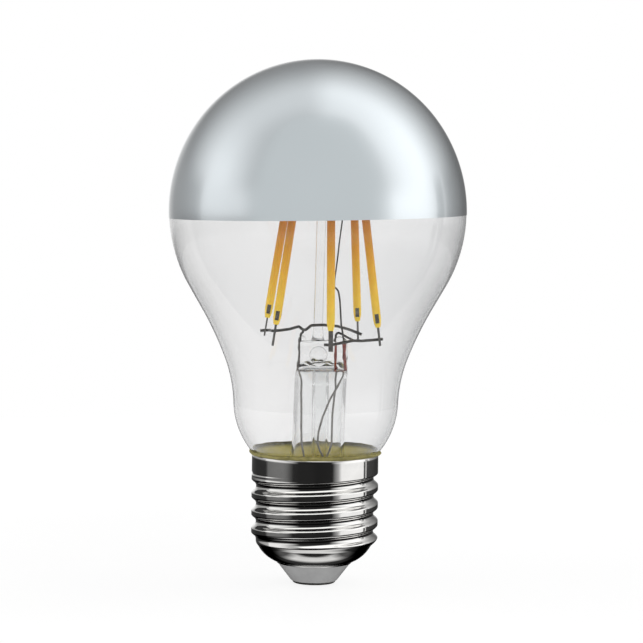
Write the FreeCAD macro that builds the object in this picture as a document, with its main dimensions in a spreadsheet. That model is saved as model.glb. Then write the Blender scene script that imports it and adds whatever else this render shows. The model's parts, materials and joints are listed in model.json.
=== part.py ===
# Silver crown filament bulb with an E27 screw cap.
# Millimetres. +Z is up along the bulb's axis, the origin is at the centre of the
# bottom contact's face, -Y is the side that shows the left and right carrier wires.
import FreeCAD, Part
import Sketcher
import math
import os
from FreeCAD import Vector, Placement, Rotation

os.makedirs("parts", exist_ok=True)
doc = FreeCAD.newDocument("silver_crown_bulb")
sheet = doc.addObject("Spreadsheet::Sheet", "Dimensions")

# ---------------------------------------------------------------- dimensions
CELLS = [
    # envelope: outer profile as tangent arcs, angles from the axis to the normal
    ("dome_z", 76.6504), ("dome_rad", 29.8696), ("dome_ang", 56.721),
    ("belly_x", -1.5081), ("belly_z", 75.6605), ("belly_rad", 31.6736), ("belly_ang", 85.871),
    ("waist_x", 0.3606), ("waist_z", 75.7954), ("waist_rad", 29.8), ("waist_ang", 119.970),
    ("cone_len", 5.299),
    ("shoulder_rad", 72.695), ("shoulder_ang", 111.121),
    ("neck_rad", 28.279), ("neck_ang", 93.097), ("neck_len", 1.057),
    ("tuck_rad", 16.337), ("tuck_ang", 133.943), ("tail_rad", 2.945),
    ("glass_wall", 0.6), ("seal_z", 20.0),
    # mirror coat
    ("coat_wall", 0.07), ("coat_low", 71.5), ("rim_z", 74.86), ("rim_tilt", 1.2),
    # stem
    ("lip_rad", 10.8), ("lip_high", 1.2), ("flare_wall", 0.62),
    ("press_half", 5.03), ("press_top", 49.7), ("press_thick", 1.55),
    ("ceiling_z", 43.6), ("ceiling_half", 4.72), ("ceiling_thick", 1.9),
    ("hole_rad", 1.85), ("hole_x", 0.45), ("hole_y", -1.0), ("hole_z", 46.8),
    ("exhaust_x", 0.95), ("exhaust_rad", 1.68), ("exhaust_bore", 1.22), ("exhaust_low", 17.0),
    ("post_rad", 0.95), ("post_foot", 1.5), ("post_top", 88.6),
    # wires
    ("carrier_rad", 0.29), ("lead_rad", 0.24), ("support_rad", 0.18), ("fine_rad", 0.15),
    ("seal_rad", 0.26), ("outer_rad", 0.2), ("ring_rad", 0.2),
    # filaments
    ("strip_rad", 0.82), ("strip_len", 30.5), ("strip_taper", 2.1), ("strip_tip", 0.5),
    ("tab_wide", 0.93), ("tab_thick", 0.26), ("tab_in", 3.0), ("tab_up", 4.2),
    ("window_wide", 0.8), ("window_low", 0.85), ("window_high", 2.75),
    # cap
    ("rim_top", 26.4), ("collar_rad", 12.9), ("shell_wall", 0.3),
    ("crest_rad", 13.05), ("root_rad", 12.0), ("thread_round", 1.025), ("thread_pitch", 3.629),
    ("crest_z", 14.33), ("lip_z", 4.15), ("lip_out", 7.55), ("lip_in", 7.25),
    ("cement_low", 22.9), ("cement_top", 27.7),
    ("cone_top", 7.49), ("cone_low", 4.75), ("contact_rad", 4.4), ("contact_thick", 0.45),
    ("eyelet_rad", 1.2), ("eyelet_high", 2.6), ("insulator_top", 5.7),
    # driver
    ("board_wide", 15.0), ("board_low", 7.2), ("board_top", 18.5), ("board_thick", 0.8),
    ("board_y", -2.4), ("board_back", -2.0),
]
size = {}
for row, (alias, value) in enumerate(CELLS, start=1):
    sheet.set("A%d" % row, alias)
    sheet.set("B%d" % row, "%.6f" % value)
    sheet.setAlias("B%d" % row, alias)
    size[alias] = value
doc.recompute()


class Dim:
    """A number kept together with the formula of sheet cells that gives it."""

    def __init__(self, value, text):
        self.value = value
        self.text = text

    def __add__(self, other):
        o = dim(other)
        return Dim(self.value + o.value, "(%s + %s)" % (self.text, o.text))

    def __radd__(self, other):
        return dim(other) + self

    def __sub__(self, other):
        o = dim(other)
        return Dim(self.value - o.value, "(%s - %s)" % (self.text, o.text))

    def __rsub__(self, other):
        return dim(other) - self

    def __mul__(self, other):
        o = dim(other)
        return Dim(self.value * o.value, "(%s * %s)" % (self.text, o.text))

    def __rmul__(self, other):
        return dim(other) * self

    def __truediv__(self, other):
        o = dim(other)
        return Dim(self.value / o.value, "(%s / %s)" % (self.text, o.text))

    def __neg__(self):
        return Dim(-self.value, "(0 - %s)" % self.text)


def dim(x):
    if isinstance(x, Dim):
        return x
    return Dim(float(x), "%.6f" % x if x >= 0 else "(0 - %.6f)" % -x)


def D(alias):
    return Dim(size[alias], "Dimensions.%s" % alias)


def sine(a):
    return Dim(math.sin(math.radians(a.value)), "sin(%s * 1 deg)" % a.text)


def cosine(a):
    return Dim(math.cos(math.radians(a.value)), "cos(%s * 1 deg)" % a.text)


# ---------------------------------------------------------------- sketch helpers
nodes = []


def new_body(label):
    body = doc.addObject("PartDesign::Body", label)
    body.Label = label
    nodes.append(body)
    return body


def sketch_on(body, role, name, offset=None):
    sk = body.newObject("Sketcher::SketchObject", name)
    plane = [o for o in body.Origin.OriginFeatures if o.Role == role][0]
    sk.AttachmentSupport = [(plane, "")]
    sk.MapMode = "FlatFace"
    if offset is not None:
        sk.AttachmentOffset = Placement(Vector(0, 0, offset.value), Rotation())
        sk.setExpression("AttachmentOffset.Base.z", offset.text)
    return sk


def bind(sk, constraint, quantity):
    index = sk.addConstraint(constraint)
    sk.setExpression("Constraints[%d]" % index, quantity.text)


def closed_outline(sk, verts, arcs=None):
    """Closed outline through verts. arcs: {edge: (radius, side)}; side +1 bulges to
    the right of the edge's direction, -1 to the left. Each corner is held by its two
    coordinates, and each arc by its radius."""
    arcs = arcs or {}
    n = len(verts)
    ends = []
    for i in range(n):
        ax, ay = verts[i][0].value, verts[i][1].value
        bx, by = verts[(i + 1) % n][0].value, verts[(i + 1) % n][1].value
        if i in arcs:
            rad, side = arcs[i]
            r = rad.value
            mx, my = (ax + bx) / 2, (ay + by) / 2
            dx, dy = bx - ax, by - ay
            chord = math.hypot(dx, dy)
            sag = math.sqrt(max(r * r - chord * chord / 4, 0.0))
            # the centre is on the side away from the bulge
            nx, ny = -dy / chord, dx / chord
            cx, cy = mx + side * nx * sag, my + side * ny * sag
            a0 = math.atan2(ay - cy, ax - cx)
            a1 = math.atan2(by - cy, bx - cx)
            circle = Part.Circle(Vector(cx, cy, 0), Vector(0, 0, 1), r)
            if side > 0:
                while a1 < a0:
                    a1 += 2 * math.pi
                g = sk.addGeometry(Part.ArcOfCircle(circle, a0, a1), False)
                ends.append((g, 1, 2))
            else:
                while a0 < a1:
                    a0 += 2 * math.pi
                g = sk.addGeometry(Part.ArcOfCircle(circle, a1, a0), False)
                ends.append((g, 2, 1))
        else:
            g = sk.addGeometry(Part.LineSegment(Vector(ax, ay, 0), Vector(bx, by, 0)), False)
            ends.append((g, 1, 2))
    for i in range(n):
        g, _, e = ends[i]
        h, s, _ = ends[(i + 1) % n]
        sk.addConstraint(Sketcher.Constraint("Coincident", g, e, h, s))
    for i in range(n):
        g, s, _ = ends[i]
        x, y = verts[i]
        if abs(x.value) < 1e-9:
            sk.addConstraint(Sketcher.Constraint("PointOnObject", g, s, -2))
        else:
            bind(sk, Sketcher.Constraint("DistanceX", g, s, x.value), x)
        if abs(y.value) < 1e-9:
            sk.addConstraint(Sketcher.Constraint("PointOnObject", g, s, -1))
        else:
            bind(sk, Sketcher.Constraint("DistanceY", g, s, y.value), y)
    for i, (rad, _) in arcs.items():
        x0, x1 = verts[i][0], verts[(i + 1) % n][0]
        y0, y1 = verts[i][1], verts[(i + 1) % n][1]
        if abs(math.hypot(x1.value - x0.value, y1.value - y0.value) - 2 * rad.value) < 1e-6:
            # a half circle is held by its centre
            bind(sk, Sketcher.Constraint("DistanceX", ends[i][0], 3, x0.value), x0)
        else:
            bind(sk, Sketcher.Constraint("Radius", ends[i][0], rad.value), rad)


def circle_in(sk, x, y, r):
    g = sk.addGeometry(Part.Circle(Vector(x.value, y.value, 0), Vector(0, 0, 1), r.value), False)
    if abs(x.value) < 1e-9:
        sk.addConstraint(Sketcher.Constraint("PointOnObject", g, 3, -2))
    else:
        bind(sk, Sketcher.Constraint("DistanceX", g, 3, x.value), x)
    if abs(y.value) < 1e-9:
        sk.addConstraint(Sketcher.Constraint("PointOnObject", g, 3, -1))
    else:
        bind(sk, Sketcher.Constraint("DistanceY", g, 3, y.value), y)
    bind(sk, Sketcher.Constraint("Radius", g, r.value), r)


def stadium(sk, cx, half, thick):
    """A flattened tube's outline: two half circles of radius thick and two flats."""
    left, right = cx - half + thick, cx + half - thick
    closed_outline(sk, [(left, -thick), (right, -thick), (right, thick), (left, thick)],
                   {1: (thick, 1), 3: (thick, 1)})


def revolve(body, sk, name="Turned"):
    rev = body.newObject("PartDesign::Revolution", name)
    rev.Profile = (sk, [""])
    rev.ReferenceAxis = (sk, ["V_Axis"])
    rev.Angle = 360.0
    return rev


def groove(body, sk, name="Hollow"):
    before = solid_volume(body)
    cut = body.newObject("PartDesign::Groove", name)
    cut.Profile = (sk, [""])
    cut.ReferenceAxis = (sk, ["V_Axis"])
    cut.Angle = 360.0
    doc.recompute()
    assert cut.Shape.Volume < before - 1e-6, name
    return cut


def solid_volume(body):
    doc.recompute()
    return body.Shape.Volume


def pad(body, sk, length, name="Pad"):
    p = body.newObject("PartDesign::Pad", name)
    p.Profile = (sk, [""])
    p.Length = length.value
    p.setExpression("Length", length.text)
    return p


def pocket(body, sk, length, name="Pocket", flip=False, through=False, both=False):
    before = solid_volume(body)
    p = body.newObject("PartDesign::Pocket", name)
    p.Profile = (sk, [""])
    if through:
        p.Type = 1
    else:
        p.Length = length.value
        p.setExpression("Length", length.text)
    p.Midplane = both
    p.Reversed = flip
    doc.recompute()
    assert p.Shape.Volume < before - 1e-6, name
    return p


def box(label, wide, deep, high, x, y, z):
    b = doc.addObject("Part::Box", label)
    b.Label = label
    for prop, q in (("Length", wide), ("Width", deep), ("Height", high),
                    ("Placement.Base.x", x), ("Placement.Base.y", y), ("Placement.Base.z", z)):
        b.setExpression(prop, dim(q).text)
    return b


def cylinder(label, r, high, x, y, z, turn=None):
    c = doc.addObject("Part::Cylinder", label)
    c.Label = label
    if turn is not None:
        c.Placement = Placement(Vector(0, 0, 0), turn)
    for prop, q in (("Radius", r), ("Height", high), ("Placement.Base.x", x),
                    ("Placement.Base.y", y), ("Placement.Base.z", z)):
        c.setExpression(prop, dim(q).text)
    return c


# ---------------------------------------------------------------- bent wires
def bent_path(points, bend):
    """Straight runs joined by tangent arcs of up to the given radius."""
    pts = [Vector(*p) for p in points]
    edges = []
    here = pts[0]
    radii = []
    for i in range(1, len(pts) - 1):
        a, b, c = pts[i - 1], pts[i], pts[i + 1]
        u = (a - b).normalize()
        v = (c - b).normalize()
        turn = math.pi - u.getAngle(v)
        if turn < 0.01:
            continue
        room = 0.45 * min((a - b).Length, (c - b).Length)
        r = min(bend, room / math.tan(turn / 2))
        t = r * math.tan(turn / 2)
        radii.append(r)
        p, q = b + u * t, b + v * t
        middle = (u + v).normalize()
        centre = b + middle * (r / math.cos(turn / 2))
        top = centre - middle * r
        if (p - here).Length > 1e-5:
            edges.append(Part.LineSegment(here, p).toShape())
        edges.append(Part.Arc(p, top, q).toShape())
        here = q
    edges.append(Part.LineSegment(here, pts[-1]).toShape())
    return Part.Wire(edges), radii


def wire(label, radius, points, bend=1.2):
    """A round wire swept along straight runs and tangent bends."""
    path, radii = bent_path(points, bend)
    spine = doc.addObject("Part::Feature", label + "_route")
    spine.Shape = path
    start, nxt = Vector(*points[0]), Vector(*points[1])
    section = doc.addObject("Part::Circle", label + "_section")
    section.Placement = Placement(start, Rotation(Vector(0, 0, 1), nxt - start))
    section.Radius = radius.value
    section.setExpression("Radius", radius.text)
    sweep = doc.addObject("Part::Sweep", label)
    sweep.Label = label
    sweep.Sections = [section]
    sweep.Spine = (spine, ["Edge%d" % (k + 1) for k in range(len(path.Edges))])
    sweep.Solid = True
    sweep.Frenet = False
    sweep.Transition = "Right corner"
    nodes.append(sweep)
    wires.append((sweep, path.Length, radius.value, min(radii) if radii else None))
    return sweep


wires = []

# ---------------------------------------------------------------- glass envelope
# Corner points where the arcs meet, each with the angle of the outward normal.


def arc_point(cx, cz, rad, ang):
    return cx + rad * sine(ang), cz + rad * cosine(ang)


zero = dim(0.0)
P0 = (zero, D("dome_z") + D("dome_rad"))
P1 = arc_point(zero, D("dome_z"), D("dome_rad"), D("dome_ang"))
P2 = arc_point(D("belly_x"), D("belly_z"), D("belly_rad"), D("belly_ang"))
P3 = arc_point(D("waist_x"), D("waist_z"), D("waist_rad"), D("waist_ang"))
P4 = (P3[0] + D("cone_len") * cosine(D("waist_ang")), P3[1] - D("cone_len") * sine(D("waist_ang")))


def concave(p, rad, start, end):
    return (p[0] + rad * sine(start) - rad * sine(end),
            p[1] + rad * cosine(start) - rad * cosine(end))


P5 = concave(P4, D("shoulder_rad"), D("waist_ang"), D("shoulder_ang"))
P6 = concave(P5, D("neck_rad"), D("shoulder_ang"), D("neck_ang"))
P7 = (P6[0] + D("neck_len") * cosine(D("neck_ang")), P6[1] - D("neck_len") * sine(D("neck_ang")))
P8 = (P7[0] - D("tuck_rad") * sine(D("neck_ang")) + D("tuck_rad") * sine(D("tuck_ang")),
      P7[1] - D("tuck_rad") * cosine(D("neck_ang")) + D("tuck_rad") * cosine(D("tuck_ang")))
ninety = dim(90.0)
P9 = concave(P8, D("tail_rad"), D("tuck_ang"), ninety)
P10 = (P9[0], D("seal_z"))
OUT = [(P0, zero), (P1, D("dome_ang")), (P2, D("belly_ang")), (P3, D("waist_ang")),
       (P4, D("waist_ang")), (P5, D("shoulder_ang")), (P6, D("neck_ang")), (P7, D("neck_ang")),
       (P8, D("tuck_ang")), (P9, ninety)]
# edge i runs from corner i to i+1; radius and side for a path that goes down the right
OUT_ARCS = {0: (D("dome_rad"), -1), 1: (D("belly_rad"), -1), 2: (D("waist_rad"), -1),
            4: (D("shoulder_rad"), 1), 5: (D("neck_rad"), 1), 7: (D("tuck_rad"), -1),
            8: (D("tail_rad"), 1)}


def inset(p, ang, wall):
    return p[0] - wall * sine(ang), p[1] - wall * cosine(ang)


envelope = new_body("glass_envelope")
sk = sketch_on(envelope, "XZ_Plane", "EnvelopeSection")
gw = D("glass_wall")
outer = [c for c, _ in OUT] + [P10]
inner = [(P10[0] - gw, P10[1])]
for c, ang in reversed(OUT[1:]):
    inner.append(inset(c, ang, gw))
inner.append((zero, P0[1] - gw))
verts = outer + inner
arcs = dict(OUT_ARCS)
n_out = len(outer)
# the inner line runs the other way, so its arcs bulge to the other side
for k, (rad, side) in OUT_ARCS.items():
    edge = n_out + (len(OUT) - 1 - k)
    arcs[edge] = ((rad - gw) if side < 0 else (rad + gw), -side)
closed_outline(sk, verts, arcs)
revolve(envelope, sk)

# ---------------------------------------------------------------- mirror coat
crown = new_body("mirror_crown")
sk = sketch_on(crown, "XZ_Plane", "CoatSection")
cw = D("coat_wall")
low = D("coat_low")
# where the coat's lower edge leaves the waist arc
drop = (low - D("waist_z")).value
low_ang_value = math.degrees(math.acos(drop / size["waist_rad"]))
low_ang = Dim(low_ang_value, "(acos((Dimensions.coat_low - Dimensions.waist_z) / Dimensions.waist_rad) / 1 deg)")
PL = arc_point(D("waist_x"), D("waist_z"), D("waist_rad"), low_ang)


def outset(p, ang):
    return p[0] + cw * sine(ang), p[1] + cw * cosine(ang)


verts = [(zero, P0[1] + cw), outset(P1, D("dome_ang")), outset(P2, D("belly_ang")), outset(PL, low_ang),
         PL, P2, P1, P0]
closed_outline(sk, verts, {0: (D("dome_rad") + cw, -1), 1: (D("belly_rad") + cw, -1), 2: (D("waist_rad") + cw, -1),
                           4: (D("waist_rad"), 1), 5: (D("belly_rad"), 1), 6: (D("dome_rad"), 1)})
revolve(crown, sk)
# the coat's rim is a little out of square with the axis
sk = sketch_on(crown, "XZ_Plane", "RimTrim")
rise = Dim(34 * math.tan(math.radians(size["rim_tilt"])), "(34 * tan(Dimensions.rim_tilt * 1 deg))")
closed_outline(sk, [(dim(-34), D("rim_z") - rise), (dim(-34), dim(60)), (dim(34), dim(60)), (dim(34), D("rim_z") + rise)])
pocket(crown, sk, None, "RimCut", through=True, both=True)

# ---------------------------------------------------------------- stem: flare and press
# (height, centre, half width, half thickness) of the flare tube and of its bore
stem = new_body("stem_glass")
sk = sketch_on(stem, "XY_Plane", "LipSection", D("seal_z"))
circle_in(sk, zero, zero, P9[0] - gw)
pad(stem, sk, D("lip_high"), "Lip")
SECTIONS = [(21.2, 0, 10.6, 10.3), (21.7, 0.04, 9.5, 9.2), (22.3, 0.09, 8.5, 8.2), (23.1, 0.16, 7.4, 7.1),
            (24.1, 0.26, 6.5, 6.2), (25.4, 0.36, 5.82, 5.52), (27.2, 0.48, 5.42, 5.12), (29.5, 0.58, 5.3, 5.0),
            (32.5, 0.68, 5.27, 4.97), (40.6, 0.92, 5.28, 4.98), (41.2, 0.95, 5.29, 4.8), (41.9, 0.98, 5.3, 4.5),
            (42.6, 1.02, 5.3, 4.15), (43.3, 1.08, 5.27, 3.45), (44, 1.15, 5.22, 2.8), (44.7, 1.21, 5.16, 2.28),
            (45.4, 1.26, 5.1, 1.9), (46.2, 1.3, 5.05, 1.65), (47.2, 1.3, 5.03, 1.56), (49.7, 1.3, 5.03, 1.55)]
BORE = [(21.2, 0, 9.85, 9.55), (21.7, 0.04, 8.8, 8.5), (22.3, 0.09, 7.82, 7.52), (23.1, 0.16, 6.74, 6.44),
        (24.1, 0.26, 5.85, 5.55), (25.4, 0.36, 5.18, 4.88), (27.2, 0.48, 4.8, 4.5), (29.5, 0.58, 4.68, 4.38),
        (32.5, 0.68, 4.65, 4.35), (40.4, 0.91, 4.66, 4.36), (41, 0.94, 4.67, 4.24), (41.7, 0.97, 4.68, 4.03),
        (42.4, 1.01, 4.7, 3.42), (43, 1.05, 4.71, 2.7), (43.6, 1.1, 4.72, 1.9)]


def loft(body, rows, kind, name):
    sketches = []
    for k, (z, cx, half, thick) in enumerate(rows):
        s = sketch_on(body, "XY_Plane", "%s_%d" % (name, k), dim(z))
        stadium(s, dim(cx), dim(half), dim(thick))
        sketches.append(s)
    doc.recompute()
    f = body.newObject(kind, name)
    f.Profile = (sketches[0], [""])
    f.Sections = [(s, [""]) for s in sketches[1:]]
    f.Ruled = True
    return f


loft(stem, SECTIONS, "PartDesign::AdditiveLoft", "FlareAndPress")
doc.recompute()
# two ears of glass stand up round the leads where they leave the press
sk = sketch_on(stem, "XY_Plane", "EarSection", D("press_top"))
closed_outline(sk, [(dim(-3.68), dim(-1.15)), (dim(-2.1), dim(-1.15)), (dim(-2.1), dim(1.15)), (dim(-3.68), dim(1.15))])
pad(stem, sk, dim(1.0), "LeftEar")
sk = sketch_on(stem, "XY_Plane", "EarSectionRight", D("press_top"))
closed_outline(sk, [(dim(3.3), dim(-1.15)), (dim(6.25), dim(-1.15)), (dim(6.25), dim(1.15)), (dim(3.3), dim(1.15))])
pad(stem, sk, dim(0.9), "RightEar")
sk = sketch_on(stem, "XY_Plane", "LipBore", D("seal_z"))
circle_in(sk, zero, zero, D("lip_rad") - dim(0.7))
pocket(stem, sk, D("lip_high"), "LipHollow", flip=True)
before = solid_volume(stem)
loft(stem, BORE, "PartDesign::SubtractiveLoft", "FlareBore")
doc.recompute()
assert stem.Shape.Volume < before - 10, "flare bore"
stem.Label = "stem_blank"
nodes.remove(stem)
# bores for the three seal wires, the blow hole and the channel to the exhaust tube
tools = [
    cylinder("bore_left", D("seal_rad"), dim(12), dim(-3.2), zero, dim(42)),
    cylinder("bore_middle", D("seal_rad"), dim(12), dim(3.93), zero, dim(42)),
    cylinder("bore_right", D("seal_rad"), dim(12), dim(5.42), zero, dim(42)),
    cylinder("bore_exhaust", D("exhaust_bore"), dim(3.2), D("exhaust_x"), zero, D("ceiling_z") - dim(0.2)),
]
hole = doc.addObject("Part::Sphere", "blow_hole")
hole.setExpression("Radius", D("hole_rad").text)
hole.setExpression("Placement.Base.x", D("hole_x").text)
hole.setExpression("Placement.Base.y", D("hole_y").text)
hole.setExpression("Placement.Base.z", D("hole_z").text)
tools.append(hole)
gang = doc.addObject("Part::MultiFuse", "press_openings")
gang.Shapes = tools
stem_cut = doc.addObject("Part::Cut", "stem_flare")
stem_cut.Label = "stem_flare"
stem_cut.Base = stem
stem_cut.Tool = gang
nodes.append(stem_cut)

# ---------------------------------------------------------------- exhaust tube
tube = new_body("exhaust_tube")
sk = sketch_on(tube, "XZ_Plane", "TubeSection")
er, eb, el, ez = D("exhaust_rad"), D("exhaust_bore"), D("exhaust_low"), D("ceiling_z")
closed_outline(sk, [(eb, ez), (er, ez), (er, el + dim(2.2)), (zero, el), (zero, el + dim(0.7)), (eb, el + dim(2.5))],
               {2: (dim(3.2), -1), 4: (dim(3.0), 1)})
revolve(tube, sk)
tube.Placement = Placement(Vector(size["exhaust_x"], 0, 0), Rotation())
tube.setExpression("Placement.Base.x", D("exhaust_x").text)

# ---------------------------------------------------------------- glass post
post = new_body("glass_post")
sk = sketch_on(post, "XZ_Plane", "PostSection")
pr, ph = D("post_rad"), D("post_top") - D("press_top") + dim(0.5)
closed_outline(sk, [(zero, zero), (dim(1.5), zero), (dim(1.5), dim(0.5)), (dim(1.1), dim(1.6)), (pr, dim(4.3)), (pr, ph - dim(3.0)),
                    (dim(1.5), ph - dim(1.4)), (zero, ph)],
               {2: (dim(2.0), -1), 3: (dim(25.0), -1), 5: (dim(2.2), 1), 6: (dim(1.55), 1)})
revolve(post, sk, "Rod")
lean = Dim(math.degrees(math.atan2(0.68, 36.3)), "(atan2(0.68; 36.3) / 1 deg)")
post.Placement = Placement(Vector(0.28, 0, size["press_top"] - 0.5),
                           Rotation(Vector(0, 1, 0), lean.value) * Rotation(Vector(0, 0, 1), 90))
post.setExpression("Placement.Base.z", (D("press_top") - dim(0.5)).text)
post.Label = "post_blank"
nodes.remove(post)
foot_trim = box("post_foot_trim", dim(6), dim(6), dim(2), dim(-3), dim(-3), D("press_top") - dim(2))
wire_bore = cylinder("bore_top_wire", D("ring_rad"), dim(6), dim(-2.0), dim(0), dim(87.2),
                     Rotation(Vector(0, 1, 0), 90))
post_tools = doc.addObject("Part::MultiFuse", "post_tools")
post_tools.Shapes = [foot_trim, wire_bore]
post_cut = doc.addObject("Part::Cut", "glass_post")
post_cut.Label = "glass_post"
post_cut.Base = post
post_cut.Tool = post_tools
nodes.append(post_cut)

# ---------------------------------------------------------------- electrode wires
gap = size["carrier_rad"] + size["tab_thick"] / 2 + 0.01
LEFT = [(-11.56, 4.0, 51.30), (-9.85, 4.0, 51.44), (-9.5, 3.2, 51.52), (-9.45, -1.0, 51.76), (-8.95, -5.2, 52.0), (-8.75, -6.978, 52.1), (-7.3, -7.008, 52.2),
        (-5.34, -5.0, 52.36), (-3.55, -1.60, 52.69), (-2.43, -0.80, 51.66), (-1.12, -1.50, 52.92), (1.31, -1.55, 53.04),
        (4.16, 1.60, 52.60), (6.6, 5.4, 51.7), (7.7, 7.33, 51.15), (9.35, 7.33, 50.50)]
wire("left_carrier_wire", D("carrier_rad"), LEFT, 1.0)
wire("left_lead_wire", D("lead_rad"), [(-3.2, 0, 49.2), (-3.2, 0, 51.0), (-2.70, -0.95, 51.55)], 0.5)
RIGHT = [(1.55, -11.67, 49.75), (2.89, -11.88, 49.73), (7.37, -8.17, 50.38), (8.99, -6.50, 50.21), (11.4, -4.26, 50.24),
         (12.5, -3.96, 50.34), (13.4, -3.85, 50.42)]
wire("right_carrier_wire", D("carrier_rad"), RIGHT, 1.0)
wire("right_lead_wire", D("lead_rad"), [(3.93, 0, 49.2), (3.93, 0, 51.0), (4.42, -0.40, 51.4), (5.18, -1.60, 51.18),
                                        (6.10, -3.90, 50.80), (7.40, -7.55, 50.38)], 0.7)
wire("lower_support_wire", D("support_rad"), [(5.42, 0, 49.2), (5.42, 0, 50.9), (5.03, 0, 52.80), (4.69, 0, 57.88),
                                              (4.41, 0, 59.60), (3.99, 0, 60.19), (3.62, 0, 60.40)], 1.2)
wire("upper_support_wire", D("fine_rad"), [(3.50, -0.34, 58.95), (3.55, -0.34, 60.6), (3.60, -0.33, 62.3), (3.89, -0.2, 64.4),
                                           (4.20, 0, 67.02), (4.46, 0, 69.66), (4.83, 0, 72.71), (5.3, 0.0, 76.4),
                                           (6.2, 0.0, 82.0), (6.72, 0.0, 85.6)], 6.0)
# copper-clad wires sealed in the press, ends flush with what they join
for name, x in (("left", -3.2), ("middle", 3.93), ("right", 5.42)):
    c = cylinder("seal_wire_" + name, D("seal_rad"), dim(49.2) - D("ceiling_z"), dim(x), zero, D("ceiling_z"))
    nodes.append(c)
# leads in the flare, down to the top edge of the board
bt = size["board_top"]
wire("outer_lead_left", D("outer_rad"), [(-3.2, 0, 43.6), (-3.2, 0, 42.9), (-2.85, -0.7, 40.7), (-2.91, -1.05, 39.1), (-2.79, -1.5, 35.6),
                                         (-2.77, -1.8, 32.1), (-2.67, -2.2, 28.6), (-2.2, -2.4, 26.3), (-2.2, -2.4, bt)], 2.5)
wire("outer_lead_middle", D("outer_rad"), [(3.93, 0, 43.6), (3.93, 0, 42.6), (4.01, -0.6, 40.3), (3.70, -1.3, 38.2),
                                           (3.35, -1.9, 34.7), (3.27, -2.3, 31.5), (3.22, -2.45, 28.8), (2.72, -2.4, 27.1),
                                           (2.22, -2.4, 26.0), (2.22, -2.4, bt)], 2.5)
wire("outer_lead_right", D("outer_rad"), [(5.42, 0, 43.6), (5.42, 0, 42.8), (4.75, -1.2, 41.2), (2.85, -2.35, 37.9),
                                          (1.41, -2.5, 34.2), (0.6, -2.5, 31.1), (0.46, -2.5, 28.9), (0.92, -2.45, 27.4),
                                          (1.6, -2.4, 26.2), (1.6, -2.4, bt)], 2.5)

# ---------------------------------------------------------------- filaments
# tip of the phosphor, direction of the strip, end of the lower tab, side of the window, width of the tab below the strip
FILAMENTS = {
    "far_left": ((-10.09, 3.4, 54.08), (0.1592, -0.0608, 0.9854), 3.84, 1, 0.34),
    "left_front": ((-8.10, -7.3, 53.38), (0.1425, 0.1015, 0.9846), 4.3, 1, 0.46),
    "centre_front": ((2.85, -11.9, 52.51), (-0.0069, 0.1342, 0.9909), 4.12, -1, 0.93),
    "right_back": ((8.45, 7.6, 53.28), (-0.0421, -0.0687, 0.9967), 4.3, 1, 0.42),
    "right_front": ((12.38, -4.3, 52.79), (-0.123, 0.0471, 0.9913), 3.76, 1, 0.46),
}
for name, (tip, up, tab, face, lead) in FILAMENTS.items():
    z_axis = Vector(*up)
    z_axis.normalize()
    turn = Rotation(Vector(face, 0, 0), Vector(0, face, 0), z_axis, "ZXY")
    place = Placement(Vector(*tip), turn)
    strip = new_body("filament_%s_strip" % name)
    sk = sketch_on(strip, "XZ_Plane", "StripSection_" + name)
    sr, st, sl, tp = D("strip_rad"), D("strip_tip"), D("strip_len"), D("strip_taper")
    closed_outline(sk, [(zero, zero), (st, zero), (sr, tp), (sr, sl - tp), (st, sl), (zero, sl)],
                   {1: (dim(8), 1), 3: (dim(8), 1)})
    revolve(strip, sk)
    # slots that take the two metal tabs, and a window in the phosphor over the lower one
    tw, tt = D("tab_wide"), D("tab_thick")
    for where, z0, ref in (("Low", zero, False), ("High", sl, True)):
        sk = sketch_on(strip, "XY_Plane", "Slot%s_%s" % (where, name), z0 if ref else None)
        closed_outline(sk, [(tw / -2, tt / -2), (tw / 2, tt / -2), (tw / 2, tt / 2), (tw / -2, tt / 2)])
        pocket(strip, sk, D("tab_in"), "TabSlot" + where, flip=not ref)
    sk = sketch_on(strip, "XZ_Plane", "Window_" + name)
    ww = D("window_wide")
    closed_outline(sk, [(ww / -2, D("window_low")), (ww / 2, D("window_low")), (ww / 2, D("window_high")), (ww / -2, D("window_high"))])
    sk.AttachmentOffset = Placement(Vector(0, 0, size["tab_thick"] / 2), Rotation())
    sk.setExpression("AttachmentOffset.Base.z", (tt / 2).text)
    pocket(strip, sk, dim(1.2), "Window", flip=True)
    strip.Placement = place
    for end, low_z, high_z in (("lower", None, size["tab_in"]), ("upper", size["strip_len"] - size["tab_in"], size["strip_len"] + size["tab_up"])):
        t = new_body("filament_%s_%s_tab" % (name, end))
        sk = sketch_on(t, "XY_Plane", "TabSection_%s_%s" % (name, end), None if low_z is None else dim(low_z))
        closed_outline(sk, [(tw / -2, tt / -2), (tw / 2, tt / -2), (tw / 2, tt / 2), (tw / -2, tt / 2)])
        pad(t, sk, dim(high_z - (low_z or 0.0)), "Strip")
        if low_z is None:
            # the tab narrows where it leaves the strip
            lw = dim(lead)
            sk = sketch_on(t, "XY_Plane", "LeadSection_" + name, dim(-tab))
            closed_outline(sk, [(lw / -2, tt / -2), (lw / 2, tt / -2), (lw / 2, tt / 2), (lw / -2, tt / 2)])
            pad(t, sk, dim(tab + 0.4), "Lead")
        t.Placement = place

# ring wire behind the mirror: it passes just behind each upper tab


def on_tab(name, along, back):
    tip, up = FILAMENTS[name][:2]
    u = Vector(*up)
    u.normalize()
    p = Vector(*tip) + u * (size["strip_len"] + along)
    return p + Vector(0, back, 0)


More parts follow.
